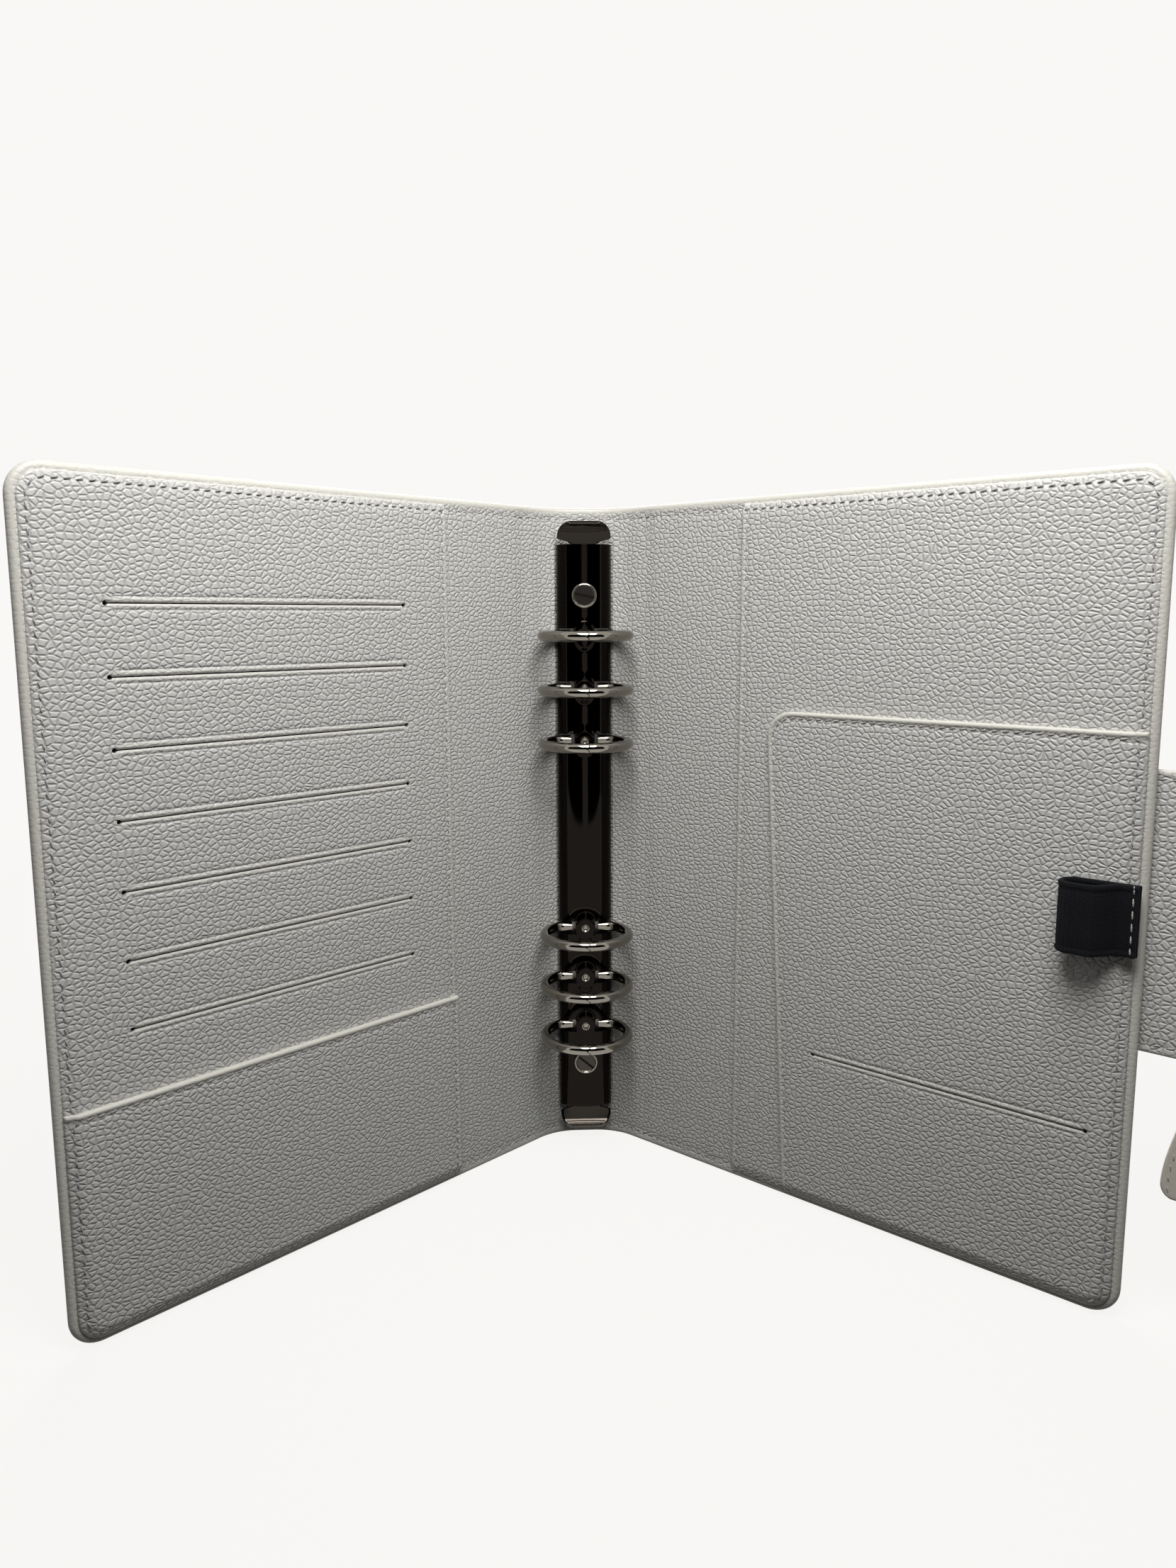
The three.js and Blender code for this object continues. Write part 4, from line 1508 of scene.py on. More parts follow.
@dataclass
class Insides:
    """The card panel, the pockets and the near-black strips of painted shade seen through the slits."""

    covers: Covers
    card_slits: int = 7
    card_pitch: float = 19.1
    card_top: float = 201.3
    card_start: float = 53.0
    card_length: float = 94.7
    card_panel_start: float = 35.0
    pocket_height: float = 68.0
    back_panel_start: float = 40.5
    small_pocket_height: float = 167.0
    small_pocket_foot: float = 62.0
    small_pocket_lean: float = 10.0
    small_pocket_corner: float = 9.0
    note_start: float = 72.2
    note_length: float = 86.0
    note_height: float = 54.4

    def card_rows(self) -> tuple[Slit, ...]:
        """The card slits, from the top one down.

        Returns:
            One slit for each card.
        """
        return tuple(
            Slit(self.card_start, self.card_start + self.card_length, self.card_top - k * self.card_pitch)
            for k in range(self.card_slits)
        )

    def slit_shade(self, side: Side, slits: Sequence[Slit], height: float, name: str, body: str) -> None:
        """Lays a near-black strip behind each slit as painted shade.

        Args:
            side: The cover.
            slits: The slits that show it.
            height: Its level over the board's middle.
            name: The piece's name.
            body: The cover's body.
        """
        lay = self.covers.lay
        points: list[Array] = []
        faces: list[tuple[int, ...]] = []
        for number, slit in enumerate(slits):
            left, right = lay.hinge_way + slit.start - 2.0, lay.hinge_way + slit.end + 2.0
            ways = np.array([left, right, right, left] * 2)
            ups = slit.height + np.array([-2.0, -2.0, 2.0, 2.0] * 2)
            levels = height + np.array([0.0] * 4 + [0.08] * 4)
            points.append(lay.place(side, ways, levels, ups))
            start = 8 * number
            faces += [tuple(start + k for k in (0, 1, 2, 3)), tuple(start + k for k in (4, 5, 6, 7))]
            faces += [tuple(start + k for k in (a, (a + 1) % 4, (a + 1) % 4 + 4, a + 4)) for a in range(4)]
        # Painted shade: near-black strips stand behind the slits, where the pockets' insides would only be
        # in shade.
        piece = solid(name, np.concatenate(points), faces)
        piece.data.materials.append(self.covers.finishes.slit_shade)
        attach(piece, body)
        report(piece)

    def build(self) -> None:
        """Builds every sheet and joins it to its cover."""
        covers = self.covers
        full = covers.height - 2.1
        cards = self.card_rows()
        Sheet(
            "card_slot_panel_leather", Side.FRONT, self.card_panel_start, full, 1, slits=cards
        ).build(covers)
        self.slit_shade(Side.FRONT, cards, 1.5, "card_pocket_lining", "front_cover")
        Sheet(
            "front_pocket_leather", Side.FRONT, self.card_panel_start, self.pocket_height, 2,
            head_fold=Fold.TURNED,
        ).build(covers)
        Sheet("back_pocket_panel_leather", Side.BACK, self.back_panel_start, full, 1).build(covers)
        note = Slit(self.note_start, self.note_start + self.note_length, self.note_height)
        Sheet(
            "small_pocket_leather", Side.BACK, self.small_pocket_foot, self.small_pocket_height, 2,
            lean=self.small_pocket_lean, head_fold=Fold.TURNED,
            head_start_corner=self.small_pocket_corner, slits=(note,), start_bead=0.75,
        ).build(covers)
        self.slit_shade(Side.BACK, (note,), 2.86, "note_slit_painted_shade", "back_cover")


@dataclass
class PenLoop:
    """A band of ribbed elastic folded into a loop, its two ends sewn down together."""

    covers: Covers
    foot: float = 107.0
    height: float = 19.6
    start: float = 148.9
    end: float = 168.7
    rise: float = 8.6
    tape: float = 1.1
    tail: float = 4.5
    slope: float = 6.0
    seat: float = 4.4
    rib: float = 1.15
    rib_depth: float = 0.22
    stitch_inset: float = 1.4

    def middle_line(self) -> Array:
        """The tape's middle line in the plane of its section, two columns.

        Returns:
            Millimetres from the hinge and over the seat.
        """
        half = self.tape / 2
        radius = self.rise / 2 - half
        centre = self.start + self.rise / 2
        points = [(self.end - k * (self.end - centre) / 60, half) for k in range(60)]
        for k in range(41):
            turn = -math.pi / 2 - math.pi * k / 40
            points.append((centre + radius * math.cos(turn), self.rise / 2 + radius * math.sin(turn)))
        slope_start = self.end - self.tail - self.slope
        points += [(centre + (slope_start - centre) * k / 10, self.rise - half) for k in range(1, 11)]
        for k in range(1, 31):
            share = float(smoothstep(0, 1, k / 30))
            drop = (self.rise - half - 1.5 * self.tape - 0.04) * share
            points.append((slope_start + self.slope * k / 30, self.rise - half - drop))
        points += [(self.end - self.tail + self.tail * k / 14, 1.5 * self.tape + 0.04) for k in range(1, 15)]
        return np.array(points)

    def build(self) -> None:
        """Builds the loop and its stitches and joins them to the back cover."""
        lay = self.covers.lay
        coarse = self.middle_line()
        run = np.concatenate([[0.0], np.cumsum(np.linalg.norm(np.diff(coarse, axis=0), axis=1))])
        steps = np.arange(0.0, run[-1], 0.19)
        line = np.stack([np.interp(steps, run, coarse[:, k]) for k in (0, 1)], axis=1)
        along = np.gradient(line, axis=0)
        along /= np.linalg.norm(along, axis=1)[:, None]
        across = np.stack([along[:, 1], -along[:, 0]], axis=1)
        wave = self.rib_depth * (np.abs(np.sin(math.pi * steps / self.rib)) - 0.7)
        rise = np.array([0.0, 0.2, 0.5, 0.9, 1.3, 1.6, 1.9, 2.2, 6.0])
        swell = np.array([0.6, 1.0, 1.25, 1.3, 1.2, 0.85, 0.8, 1.0, 1.0])
        ups = np.concatenate([rise, self.height - rise[::-1]])
        ease = np.concatenate([swell, swell[::-1]])
        sides = []
        for sign in (1.0, -1.0):
            offset = sign * (self.tape / 2 + wave)[None, :, None] * ease[:, None, None]
            flat = line[None] + offset * across[None]
            sides.append(lay.place(
                Side.BACK, lay.hinge_way + flat[..., 0], self.seat + flat[..., 1], (self.foot + ups)[:, None]
            ))
        sheet = np.stack(np.broadcast_arrays(steps[None, :], ups[:, None]), axis=-1)
        band = shell("pen_loop_elastic", sides[0], sides[1], sheet=sheet, smooth=70.0)
        band.data.materials.append(self.covers.finishes.elastic)
        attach(band, "back_cover")
        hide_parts("pen_loop")
        ups = np.arange(self.foot + 1.5, self.foot + self.height - 1.0, 1.0)
        ways = np.full_like(ups, lay.hinge_way + self.end - self.stitch_inset)
        level = self.seat + 2 * self.tape + 0.05
        rows = [(lay.place(Side.BACK, ways, level, ups), lay.facing(Side.BACK, ways))]
        sewn = self.covers.stitching.lay(
            "pen_loop_stitches", rows, self.covers.finishes.pale_thread, pitch=3.2, length=2.6, width=0.5,
            slant=0.04
        )
        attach(sewn, "back_cover")
        report(band)


@dataclass
class ClosureFlap:
    """The strap that closes over the fore edge, in two pieces that meet in the middle of its bridge."""

    covers: Covers
    root: float
    tip_fold: float
    middle: float = -2.7
    thickness: float = 1.8
    height: float = 78.0
    foot: float = 79.0
    sewn_start: float = 144.7
    tip_length: float = 48.0
    tip_corner: float = 12.0
    stitch_inset: float = 2.6
    fold_reach: float = 4.5

    def _outline(self, start: float, end: float, corner: float) -> Outline:
        """The outline of one length of the flap, rounded at its end."""
        base, head = self.covers.lay.hinge_way, self.foot + self.height
        return Outline(base + start, base + end, self.foot, head, (0.0, corner, corner, 0.0))

    def _length(
        self, name: str, start: float, end: float, corner: float, node_rim: tuple[bool, bool]
    ) -> bpy.types.Object:
        """Builds one length of the flap.

        Args:
            name: The piece's name.
            start: Where it starts, from the cover's hinge.
            end: Where it ends.
            corner: Radius of its corners at the end.
            node_rim: Whether its start and its end are rims of the whole flap.

        Returns:
            The piece.
        """
        lay = self.covers.lay
        outline = self._outline(start, end, corner)
        half = self.thickness / 2
        arc = [half * (1 - math.cos(math.radians(a))) for a in (0, 22, 45, 68, 90)]
        insets = [*arc, 1.4, 2.0, 2.6, 3.2, 4.0, 6.0, 9.0, 12.0]
        way, up, inset = outline.grid(insets, 3.0)
        distance = np.minimum(inset["foot"], inset["head"])
        for use, gap in zip(node_rim, (inset["left"], inset["right"])):
            if use:
                distance = np.minimum(distance, gap)
        inside = np.clip(half - distance, 0.0, half)
        height = np.sqrt(half**2 - inside**2) - 0.16 * hump(distance - self.stitch_inset, 0.7)
        rim = 1 - smoothstep(0.7, 1.3, distance)
        piece = shell(
            name, lay.place(Side.BACK, way, self.middle + height, up),
            lay.place(Side.BACK, way, self.middle - height, up),
            sheet=np.stack([way + 31.0, up + 17.0], axis=-1), marks={"rim": rim},
        )
        piece.data.materials.append(self.covers.finishes.leather)
        return piece

    def _rows(
        self, start: float, end: float, corner: float, at_start: bool, at_end: bool
    ) -> list[tuple[Array, Array]]:
        """Rows of stitches for both faces of one length of the flap.

        Args:
            start: Where the length starts, from the cover's hinge.
            end: Where it ends.
            corner: Radius of its corners at the end.
            at_start: Whether a row crosses its start.
            at_end: Whether the row runs round its end.

        Returns:
            For each row its points and the way that the leather faces there.
        """
        lay, base = self.covers.lay, self.covers.lay.hinge_way
        inset = self.stitch_inset
        foot, head = self.foot + inset, self.foot + self.height - inset
        if at_end:
            paths = [self._outline(start, end, corner).row(inset, open_left=True)]
        else:
            ways = np.arange(base + start + (inset if at_start else 0.0), base + end, 1.5)
            paths = [np.stack([ways, np.full_like(ways, z)], axis=1) for z in (foot, head)]
            if at_start:
                ups = np.arange(foot, head, 1.5)
                paths.append(np.stack([np.full_like(ups, base + start + inset), ups], axis=1))
        found = []
        level = self.thickness / 2 - 0.12
        for path in paths:
            for inwards in (True, False):
                height = self.middle + (level if inwards else -level)
                found.append((
                    lay.place(Side.BACK, path[:, 0], height, path[:, 1]),
                    lay.facing(Side.BACK, path[:, 0], inwards),
                ))
        return found

    def _blend(self, piece: bpy.types.Object, fold: float) -> None:
        """Bakes a piece's transform into its mesh; the points on either side of one fold of the flap are
        worked out, but no bend is made.

        Args:
            piece: The piece.
            fold: The fold's place, from the cover's hinge.
        """
        start, end = (
            tuple(
                self.covers.lay.cover_point(
                    Side.BACK, fold + reach, self.middle, self.covers.height / 2
                ) * MM
            )
            for reach in (-self.fold_reach, self.fold_reach)
        )
        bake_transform(piece)

    def build(self) -> None:
        """Builds the flap's two pieces with their stitches."""
        centre = (self.root + self.tip_fold) / 2
        end = self.tip_fold + self.tip_length
        near = self._length("closure_flap_root_leather", self.sewn_start, centre, 0.0, (True, False))
        self._blend(near, self.root)
        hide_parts("closure_flap_sewn_end", "closure_flap_bridge")
        far = self._length("closure_flap_tip_leather", centre, end, self.tip_corner, (False, True))
        self._blend(far, self.tip_fold)
        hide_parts("closure_flap_tip")
        thread = self.covers.finishes.thread
        rows = self._rows(self.sewn_start, centre, 0.0, True, False)
        sewn = self.covers.stitching.lay("closure_flap_root_stitches", rows, thread)
        self._blend(sewn, self.root)
        rows = self._rows(centre, end, self.tip_corner, False, True)
        sewn = self.covers.stitching.lay("closure_flap_tip_stitches", rows, thread)
        self._blend(sewn, self.tip_fold)
        report(near)
        report(far)


@dataclass
class PullTag:
    """A hanging tag of smooth leather, sewn behind the flap's lower edge."""

    covers: Covers
    root: float
    offset: float = 13.5
    foot: float = 38.0
    head: float = 93.0
    neck: float = 7.6
    width: float = 22.0
    shoulder: float = 79.0
    middle: float = -4.7
    thickness: float = 1.6

    def half_width(self, up: Array) -> Array:
        """Half the tag's width at a height.

        Args:
            up: Heights in Z.

        Returns:
            Half widths in millimetres.
        """
        share = smoothstep(self.foot + 3.0, self.shoulder, up)
        spread = self.width / 2 + (self.neck - self.width) / 2 * share
        corner = 4.0
        near = np.clip(corner - (up - self.foot), 0.0, corner)
        return spread - (corner - np.sqrt(corner**2 - near**2))

    def build(self) -> None:
        """Builds the tag and its stitches and joins them to the flap."""
        lay = self.covers.lay
        centre = lay.hinge_way + self.root + self.offset
        ups = lines(self.foot, self.head, 2.0, [self.foot + d for d in (0.05, 0.2, 0.5, 0.9, 1.5, 2.4, 3.4)])
        arc = [0.0, 0.01, 0.03, 0.06, 0.1, 0.2, 0.35, 0.5]
        shares = np.array([*arc, *(1 - a for a in reversed(arc[:-1]))]) * 2 - 1
        half = self.half_width(ups)
        way = centre + shares[None, :] * half[:, None]
        up = np.broadcast_to(ups[:, None], way.shape)
        side_gap = (1 - np.abs(shares))[None, :] * half[:, None]
        gap = np.minimum(side_gap, np.minimum(up - self.foot, self.head - up))
        body = self.thickness / 2
        inside = np.clip(body - gap, 0.0, body)
        height = np.sqrt(body**2 - inside**2)
        piece = shell(
            "pull_tag_leather", lay.place(Side.BACK, way, self.middle + height, up),
            lay.place(Side.BACK, way, self.middle - height, up),
        )
        piece.data.materials.append(self.covers.finishes.smooth)
        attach(piece, "flap_bridge")
        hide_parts("pull_tag")
        rows = []
        ups = np.arange(self.foot + 3.0, self.shoulder, 1.5)
        for sign in (-1.0, 1.0):
            ways = centre + sign * (self.half_width(ups) - 2.0)
            for inwards in (True, False):
                level = self.middle + (body if inwards else -body) * 0.98
                rows.append((lay.place(Side.BACK, ways, level, ups), lay.facing(Side.BACK, ways, inwards)))
        sewn = self.covers.stitching.lay("pull_tag_stitches", rows, self.covers.finishes.pale_thread)
        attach(sewn, "flap_bridge")
        report(piece)


@dataclass
class Snap:
    """The press fastener's socket on the front cover and its stud on the flap's tip."""

    covers: Covers
    root: float
    tip_fold: float
    setback: float = 30.0
    radius: float = 7.0

    def _facing_turn(self, side: Side) -> Matrix:
        """Turns a piece that faces -Y to face out of a cover's pages side."""
        way = self.covers.lay.facing(side, np.array(self.covers.lay.hinge_way + 10.0))
        return Vector((0, -1, 0)).rotation_difference(Vector(way)).to_matrix()

    def build(self) -> None:
        """Builds both halves and joins them to their bodies."""
        lay = self.covers.lay
        middle = self.covers.height / 2
        socket = turned("snap_socket_cap", [
            (0.0, 0.0), (6.4, 0.0), (6.9, 0.12), (7.0, 0.35), (6.9, 0.6), (6.5, 0.82), (5.9, 0.9),
            (4.6, 0.78), (4.0, 0.84), (3.4, 1.02), (2.9, 0.98), (2.62, 0.8), (2.6, 0.3), (0.0, 0.3),
        ], 64)
        place = lay.cover_point(Side.FRONT, self.root - self.setback, -1.5, middle)
        moved(socket, place, self._facing_turn(Side.FRONT))
        socket.data.materials.append(self.covers.finishes.nickel)
        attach(socket, "front_cover")
        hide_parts("snap_socket")
        report(socket)
        stud = turned("snap_stud_cap", [
            (0.0, 0.0), (6.5, 0.0), (6.9, -0.1), (7.0, -0.25), (6.9, -0.4), (6.5, -0.5), (3.2, -0.5),
            (2.5, -0.55), (1.9, -0.75), (1.85, -1.0), (2.0, -1.2), (1.9, -1.4), (1.5, -1.52), (0.0, -1.55),
        ], 64)
        place = lay.cover_point(Side.BACK, self.tip_fold + self.setback, -1.8, middle)
        moved(stud, place, self._facing_turn(Side.BACK))
        stud.data.materials.append(self.covers.finishes.nickel)
        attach(stud, "flap_tip")
        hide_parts("snap_stud")
        report(stud)


# Metal pieces


@dataclass
class Mechanism:
    """The ring rail with its rings, levers, screws and posts."""

    finishes: Finishes
    middle: float
    rail_half_length: float = 105.0
    rail_half_width: float = 10.0
    rail_foot: float = -1.8
    rail_rise: float = 5.8
    rail_wall: float = 0.8
    edge_highlight_width: float = 0.4
    crown_power: float = 2.6
    bridge_width: float = 7.2
    notch_height: float = 4.9
    dimple_radius: float = 1.5
    saddle_rise: float = 0.5
    saddle_reach: float = 6.2
    ring_pitch: float = 19.0
    ring_middle_gap: float = 70.0
    wire_radius: float = 1.8
    ring_radius: float = 15.2
    ring_reach: float = 16.2
    root_bend: float = 5.0
    root_end: float = 4.9
    root_level: float = -4.7
    tooth: float = 0.75
    screw_spacing: float = 174.0

    def stations(self) -> list[float]:
        """Heights of the rings, from the top one down."""
        offsets = [self.ring_middle_gap / 2 + k * self.ring_pitch for k in (2, 1, 0)]
        return [self.middle + d for d in offsets] + [self.middle - d for d in reversed(offsets)]

    def crown(self, x: Array, wall: float = 0.0) -> Array:
        """The rail's Y over its width, at its outer face or a wall's thickness inside.

        Args:
            x: Places across the rail.
            wall: How far inside the outer face.

        Returns:
            The places along Y.
        """
        half = self.rail_half_width - wall
        share = np.clip(np.abs(x) / half, 0.0, 1.0)
        return self.rail_foot - (self.rail_rise - wall) * np.sqrt(1 - share**self.crown_power)

    def rail(self) -> bpy.types.Object:
        """Builds the stamped rail with its notches, saddles and dimples.

        Returns:
            The piece.
        """
        bridge = self.bridge_width / 2
        turns = np.linspace(0.0, math.pi, 61)
        even = -self.rail_half_width * np.cos(turns)
        even = even[np.min(np.abs(even[:, None] - np.array([-bridge, bridge])[None]), axis=1) > 0.12]
        x_lines = np.sort(np.concatenate([even, [-bridge, bridge]]))
        half = self.notch_height / 2
        near = [0.45 * k for k in range(-19, 20) if abs(abs(0.45 * k) - half) > 0.15] + [-half, half]
        low, high = self.middle - self.rail_half_length, self.middle + self.rail_half_length
        z_lines = lines(low, high, 4.0, [
            *(s + d for s in self.stations() for d in near), low + 0.4, high - 0.4,
            *(self.middle + s * (self.screw_spacing / 2 + d) for s in (-1, 1) for d in (-5, -2, 0, 2, 5)),
        ])
        x, z = np.meshgrid(x_lines, z_lines)
        swell = np.zeros_like(x)
        for station in self.stations():
            off = z - station
            ring = np.hypot(x, off)
            reach = np.hypot(x / (bridge + 0.9), off / self.saddle_reach)
            swell += self.saddle_rise * (1 - smoothstep(0.62, 1.0, reach))
            swell -= 0.3 * (1 - smoothstep(0.4 * self.dimple_radius, self.dimple_radius, ring))
        outer = self.crown(x) - swell
        inner_x = x * (self.rail_half_width - self.rail_wall) / self.rail_half_width
        inner = self.crown(inner_x, self.rail_wall) - swell
        cell_x = (x_lines[:-1] + x_lines[1:]) / 2
        cell_z = (z_lines[:-1] + z_lines[1:]) / 2
        notch = np.zeros((len(cell_z), len(cell_x)), bool)
        for station in self.stations():
            notch |= (np.abs(cell_z - station)[:, None] < half) & (np.abs(cell_x)[None, :] > bridge)
        piece = shell(
            "ring_rail_plate", np.stack([x, outer, z], axis=-1), np.stack([inner_x, inner, z], axis=-1),
            keep=~notch, smooth=50.0,
        )
        piece.data.materials.append(self.finishes.rail)
        piece.data.materials.append(self.finishes.nickel)
        # Painted highlight: faces within a thin band of the rail's side edges take the bright nickel instead
        # of the black plate.
        for face in piece.data.polygons:
            face.material_index = int(abs(face.center.x) > (self.rail_half_width - self.edge_highlight_width) * MM)
        return piece

    def rivet_mark(self, name: str, height: float) -> bpy.types.Object:
        """Builds the punched mark with its bright rim that fastens the rail's spring at a ring.

        Args:
            name: The piece's name.
            height: The ring's station.

        Returns:
            The piece.
        """
        top = self.rail_foot - self.rail_rise - self.saddle_rise
        piece = turned(name, [
            (0.0, top + 0.22), (0.42, top + 0.24), (0.8, top + 0.12), (1.0, top - 0.06), (1.2, top - 0.16),
            (1.42, top - 0.1), (1.55, top + 0.08), (1.55, top + 0.5), (0.0, top + 0.5),
        ], 32)
        moved(piece, (0.0, 0.0, height))
        piece.data.materials.append(self.finishes.nickel)
        return piece

    def ring_line(self, side: Side, height: float, gap: float = 0.3) -> Array:
        """The middle line of one half ring, from its tip to its foot on the blade.

        Args:
            side: The half of the ring.
            height: Its station.
            gap: Space left between the two tips.

        Returns:
            Points in millimetres.
        """
        bend_reach = self.ring_radius - self.root_bend
        tip = -math.pi / 2 + math.asin(gap / 2 / self.ring_radius)
        bend = math.asin((self.ring_reach + self.root_level - self.root_bend) / bend_reach)
        bend_x = bend_reach * math.cos(bend)
        points = []
        for k in range(49):
            turn = tip + (bend - tip) * k / 48
            points.append(
                (self.ring_radius * math.cos(turn), -self.ring_reach + self.ring_radius * math.sin(turn))
            )
        for k in range(1, 15):
            turn = bend + (math.pi / 2 - bend) * k / 14
            points.append((
                bend_x + self.root_bend * math.cos(turn),
                self.root_level - self.root_bend * (1 - math.sin(turn)),
            ))
        points += [(bend_x + (self.root_end - bend_x) * k / 4, self.root_level) for k in range(1, 5)]
        flat = np.array(points)
        return np.stack([side.value * flat[:, 0], flat[:, 1], np.full(len(flat), height)], axis=-1)

    def half_ring(self, side: Side, height: float, name: str) -> bpy.types.Object:
        """Builds one half ring, its tip cut to a tooth or to the notch that takes it.

        Args:
            side: The half of the ring.
            height: Its station.
            name: The piece's name.

        Returns:
            The piece.
        """
        turns = np.linspace(0.0, 2 * math.pi, 28, endpoint=False)
        section = self.wire_radius * np.stack([np.cos(turns), np.sin(turns)], axis=1)

        def reach(points: Array) -> Array:
            """How far each point of the tip's face stands out."""
            wave = 1 - 2 * np.abs(np.abs(2 * points[:, 1] / self.wire_radius) - 1)
            return -side.value * self.tooth * wave

        piece = swept(name, self.ring_line(side, height), section, Vector((0, 0, 1)), reach)
        piece.data.materials.append(self.finishes.nickel)
        return piece

    def screw(self, name: str, height: float, turn: float) -> bpy.types.Object:
        """Builds one slotted screw with a raised rim on the rail's crown.

        Args:
            name: The piece's name.
            height: Its place in Z.
            turn: How far its slot is turned.

        Returns:
            The piece.
        """
        top = self.rail_foot - self.rail_rise
        piece = turned(name, [
            (0.0, top - 0.86), (3.4, top - 0.86), (3.5, top - 0.96), (3.62, top - 1.2), (3.85, top - 1.34),
            (4.1, top - 1.3), (4.35, top - 1.1), (4.5, top - 0.75), (4.5, top + 0.3), (1.5, top + 0.3),
            (1.5, top + 4.6), (0.0, top + 4.6),
        ], 56)
        cutter = solid(
            "cutter",
            np.array([
                (sx * 3.45, top + sy, sz * 0.42) for sx in (-1, 1) for sy in (-2.0, -0.35) for sz in (-1, 1)
            ]),
            [(0, 1, 3, 2), (4, 5, 7, 6), (0, 1, 5, 4), (2, 3, 7, 6), (0, 2, 6, 4), (1, 3, 7, 5)],
        )
        cutter.data.transform(Matrix.Rotation(turn, 4, "Y"))
        carved(piece, [cutter])
        piece.data.materials.clear()
        piece.data.materials.append(self.finishes.screw)
        piece.data.materials.append(self.finishes.nickel)
        piece.data.materials.append(self.finishes.rail)
        # Painted shade: the faces in the slot and below the head's face take the black plate, darker than
        # the screw's own finish.
        for face in piece.data.polygons:
            on_rim = math.hypot(face.center.x, face.center.z) > 3.44 * MM
            shaded_slot = face.center.y > (top - 0.8) * MM
            face.material_index = 1 if on_rim else 2 * int(shaded_slot)
        moved(piece, (0.0, 0.0, height))
        return piece

    def post(self, name: str, height: float) -> bpy.types.Object:
        """Builds one threaded post with its domed cap behind the spine.

        Args:
            name: The piece's name.
            height: Its place in Z.

        Returns:
            The piece.
        """
        piece = turned(name, [
            (0.0, -6.55), (2.1, -6.55), (2.5, -6.2), (2.5, 1.5), (4.7, 1.5), (4.95, 1.7), (5.0, 1.95),
            (4.8, 2.25), (4.2, 2.5), (3.0, 2.68), (1.5, 2.76), (0.0, 2.78),
        ], 56)
        moved(piece, (0.0, 0.0, height))
        piece.data.materials.append(self.finishes.nickel)
        return piece

    def lever(self, name: str, end: int) -> bpy.types.Object:
        """Builds one lever: a tongue, a neck over the rail's end and a flared thumb tab.

        Args:
            name: The piece's name.
            end: 1 at the head of the rail, -1 at its foot.

        Returns:
            The piece.
        """
        flare = 9.0
        angle = math.radians(56)
        line = [(-3.0, -6.0), (-3.0, -4.2), (-3.35, -3.2), (-4.3, -2.2), (-4.85, -1.3), (-5.08, -0.6)]
        line += [
            (-5.1 - flare * (1 - math.cos(angle * k / 26)), flare * math.sin(angle * k / 26))
            for k in range(27)
        ]
        spine = np.array(line)
        tangent = np.gradient(spine, axis=0)
        tangent /= np.linalg.norm(tangent, axis=1)[:, None]
        normal = np.stack([-tangent[:, 1], tangent[:, 0]], axis=1)
        z = spine[:, 1]
        top = z[-1]
        wide = 3.0 + 2.5 * smoothstep(-0.2, 0.5, z) + 4.0 * smoothstep(0.7, 2.1, z)
        corner = 4.6
        near = np.clip(corner - (top - z), 0.0, corner)
        wide = wide - (corner - np.sqrt(corner**2 - near**2)) * 0.92
        shares = np.sin(np.linspace(-math.pi / 2, math.pi / 2, 33))
        half = 0.55
        rim = np.clip(1.0 - (1 - np.abs(shares))[None, :] * wide[:, None] / 0.5, 0.0, 1.0)
        depth = half * np.sqrt(1 - 0.8 * rim**2)
        x = shares[None, :] * wide[:, None]
        faces = []
        for sign in (1.0, -1.0):
            y = spine[:, 0][:, None] + sign * depth * normal[:, 0][:, None]
            zz = spine[:, 1][:, None] + sign * depth * normal[:, 1][:, None]
            faces.append(np.stack([x, y, zz], axis=-1))
        for grid in faces:
            grid[..., 2] = self.middle + end * (self.rail_half_length + grid[..., 2])
        piece = shell(name, faces[0], faces[1], smooth=50.0)
        bevelled(piece, 0.3, 3)
        piece.data.materials.clear()
        piece.data.materials.append(self.finishes.lever)
        return piece

    def fit(self, piece: bpy.types.Object, body: str, node: str) -> None:
        """Joins a piece to its body in place of a frame node.

        Args:
            piece: The piece to join.
            body: The body that carries it.
            node: The frame node that it replaces.
        """
        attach(piece, body)
        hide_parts(node)
        report(piece)

    def build(self, nodes: dict[str, bpy.types.Object]) -> None:
        """Builds every metal piece and finishes the blades that stay as they are.

        Args:
            nodes: The frame's own nodes.
        """
        self.fit(self.rail(), "spine", "ring_rail")
        for side, word in ((Side.FRONT, "left"), (Side.BACK, "right")):
            for number, height in enumerate(self.stations(), 1):
                piece = self.half_ring(side, height, f"{word}_ring_wire_{number}")
                self.fit(piece, f"{word}_rings", f"{word}_half_ring_{number}")
                if side is Side.FRONT:
                    mark = self.rivet_mark(f"rail_rivet_mark_{number}", height)
                    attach(mark, "spine")
                    report(mark)
            blade = nodes[f"{word}_blade"]
            blade.data.materials.clear()
            blade.data.materials.append(self.finishes.steel)
        for word, end, turn in (("top", 1, math.radians(12)), ("bottom", -1, math.radians(40))):
            height = self.middle + end * self.screw_spacing / 2
            self.fit(
                self.screw(f"{word}_slotted_screw", height, turn), "spine", f"{word}_screw",
            )
            self.fit(self.post(f"{word}_capped_post", height), "spine", f"{word}_post")
            self.fit(
                self.lever(f"{word}_thumb_lever", end), f"{word}_lever", f"{word}_lever"
            )


# Studio


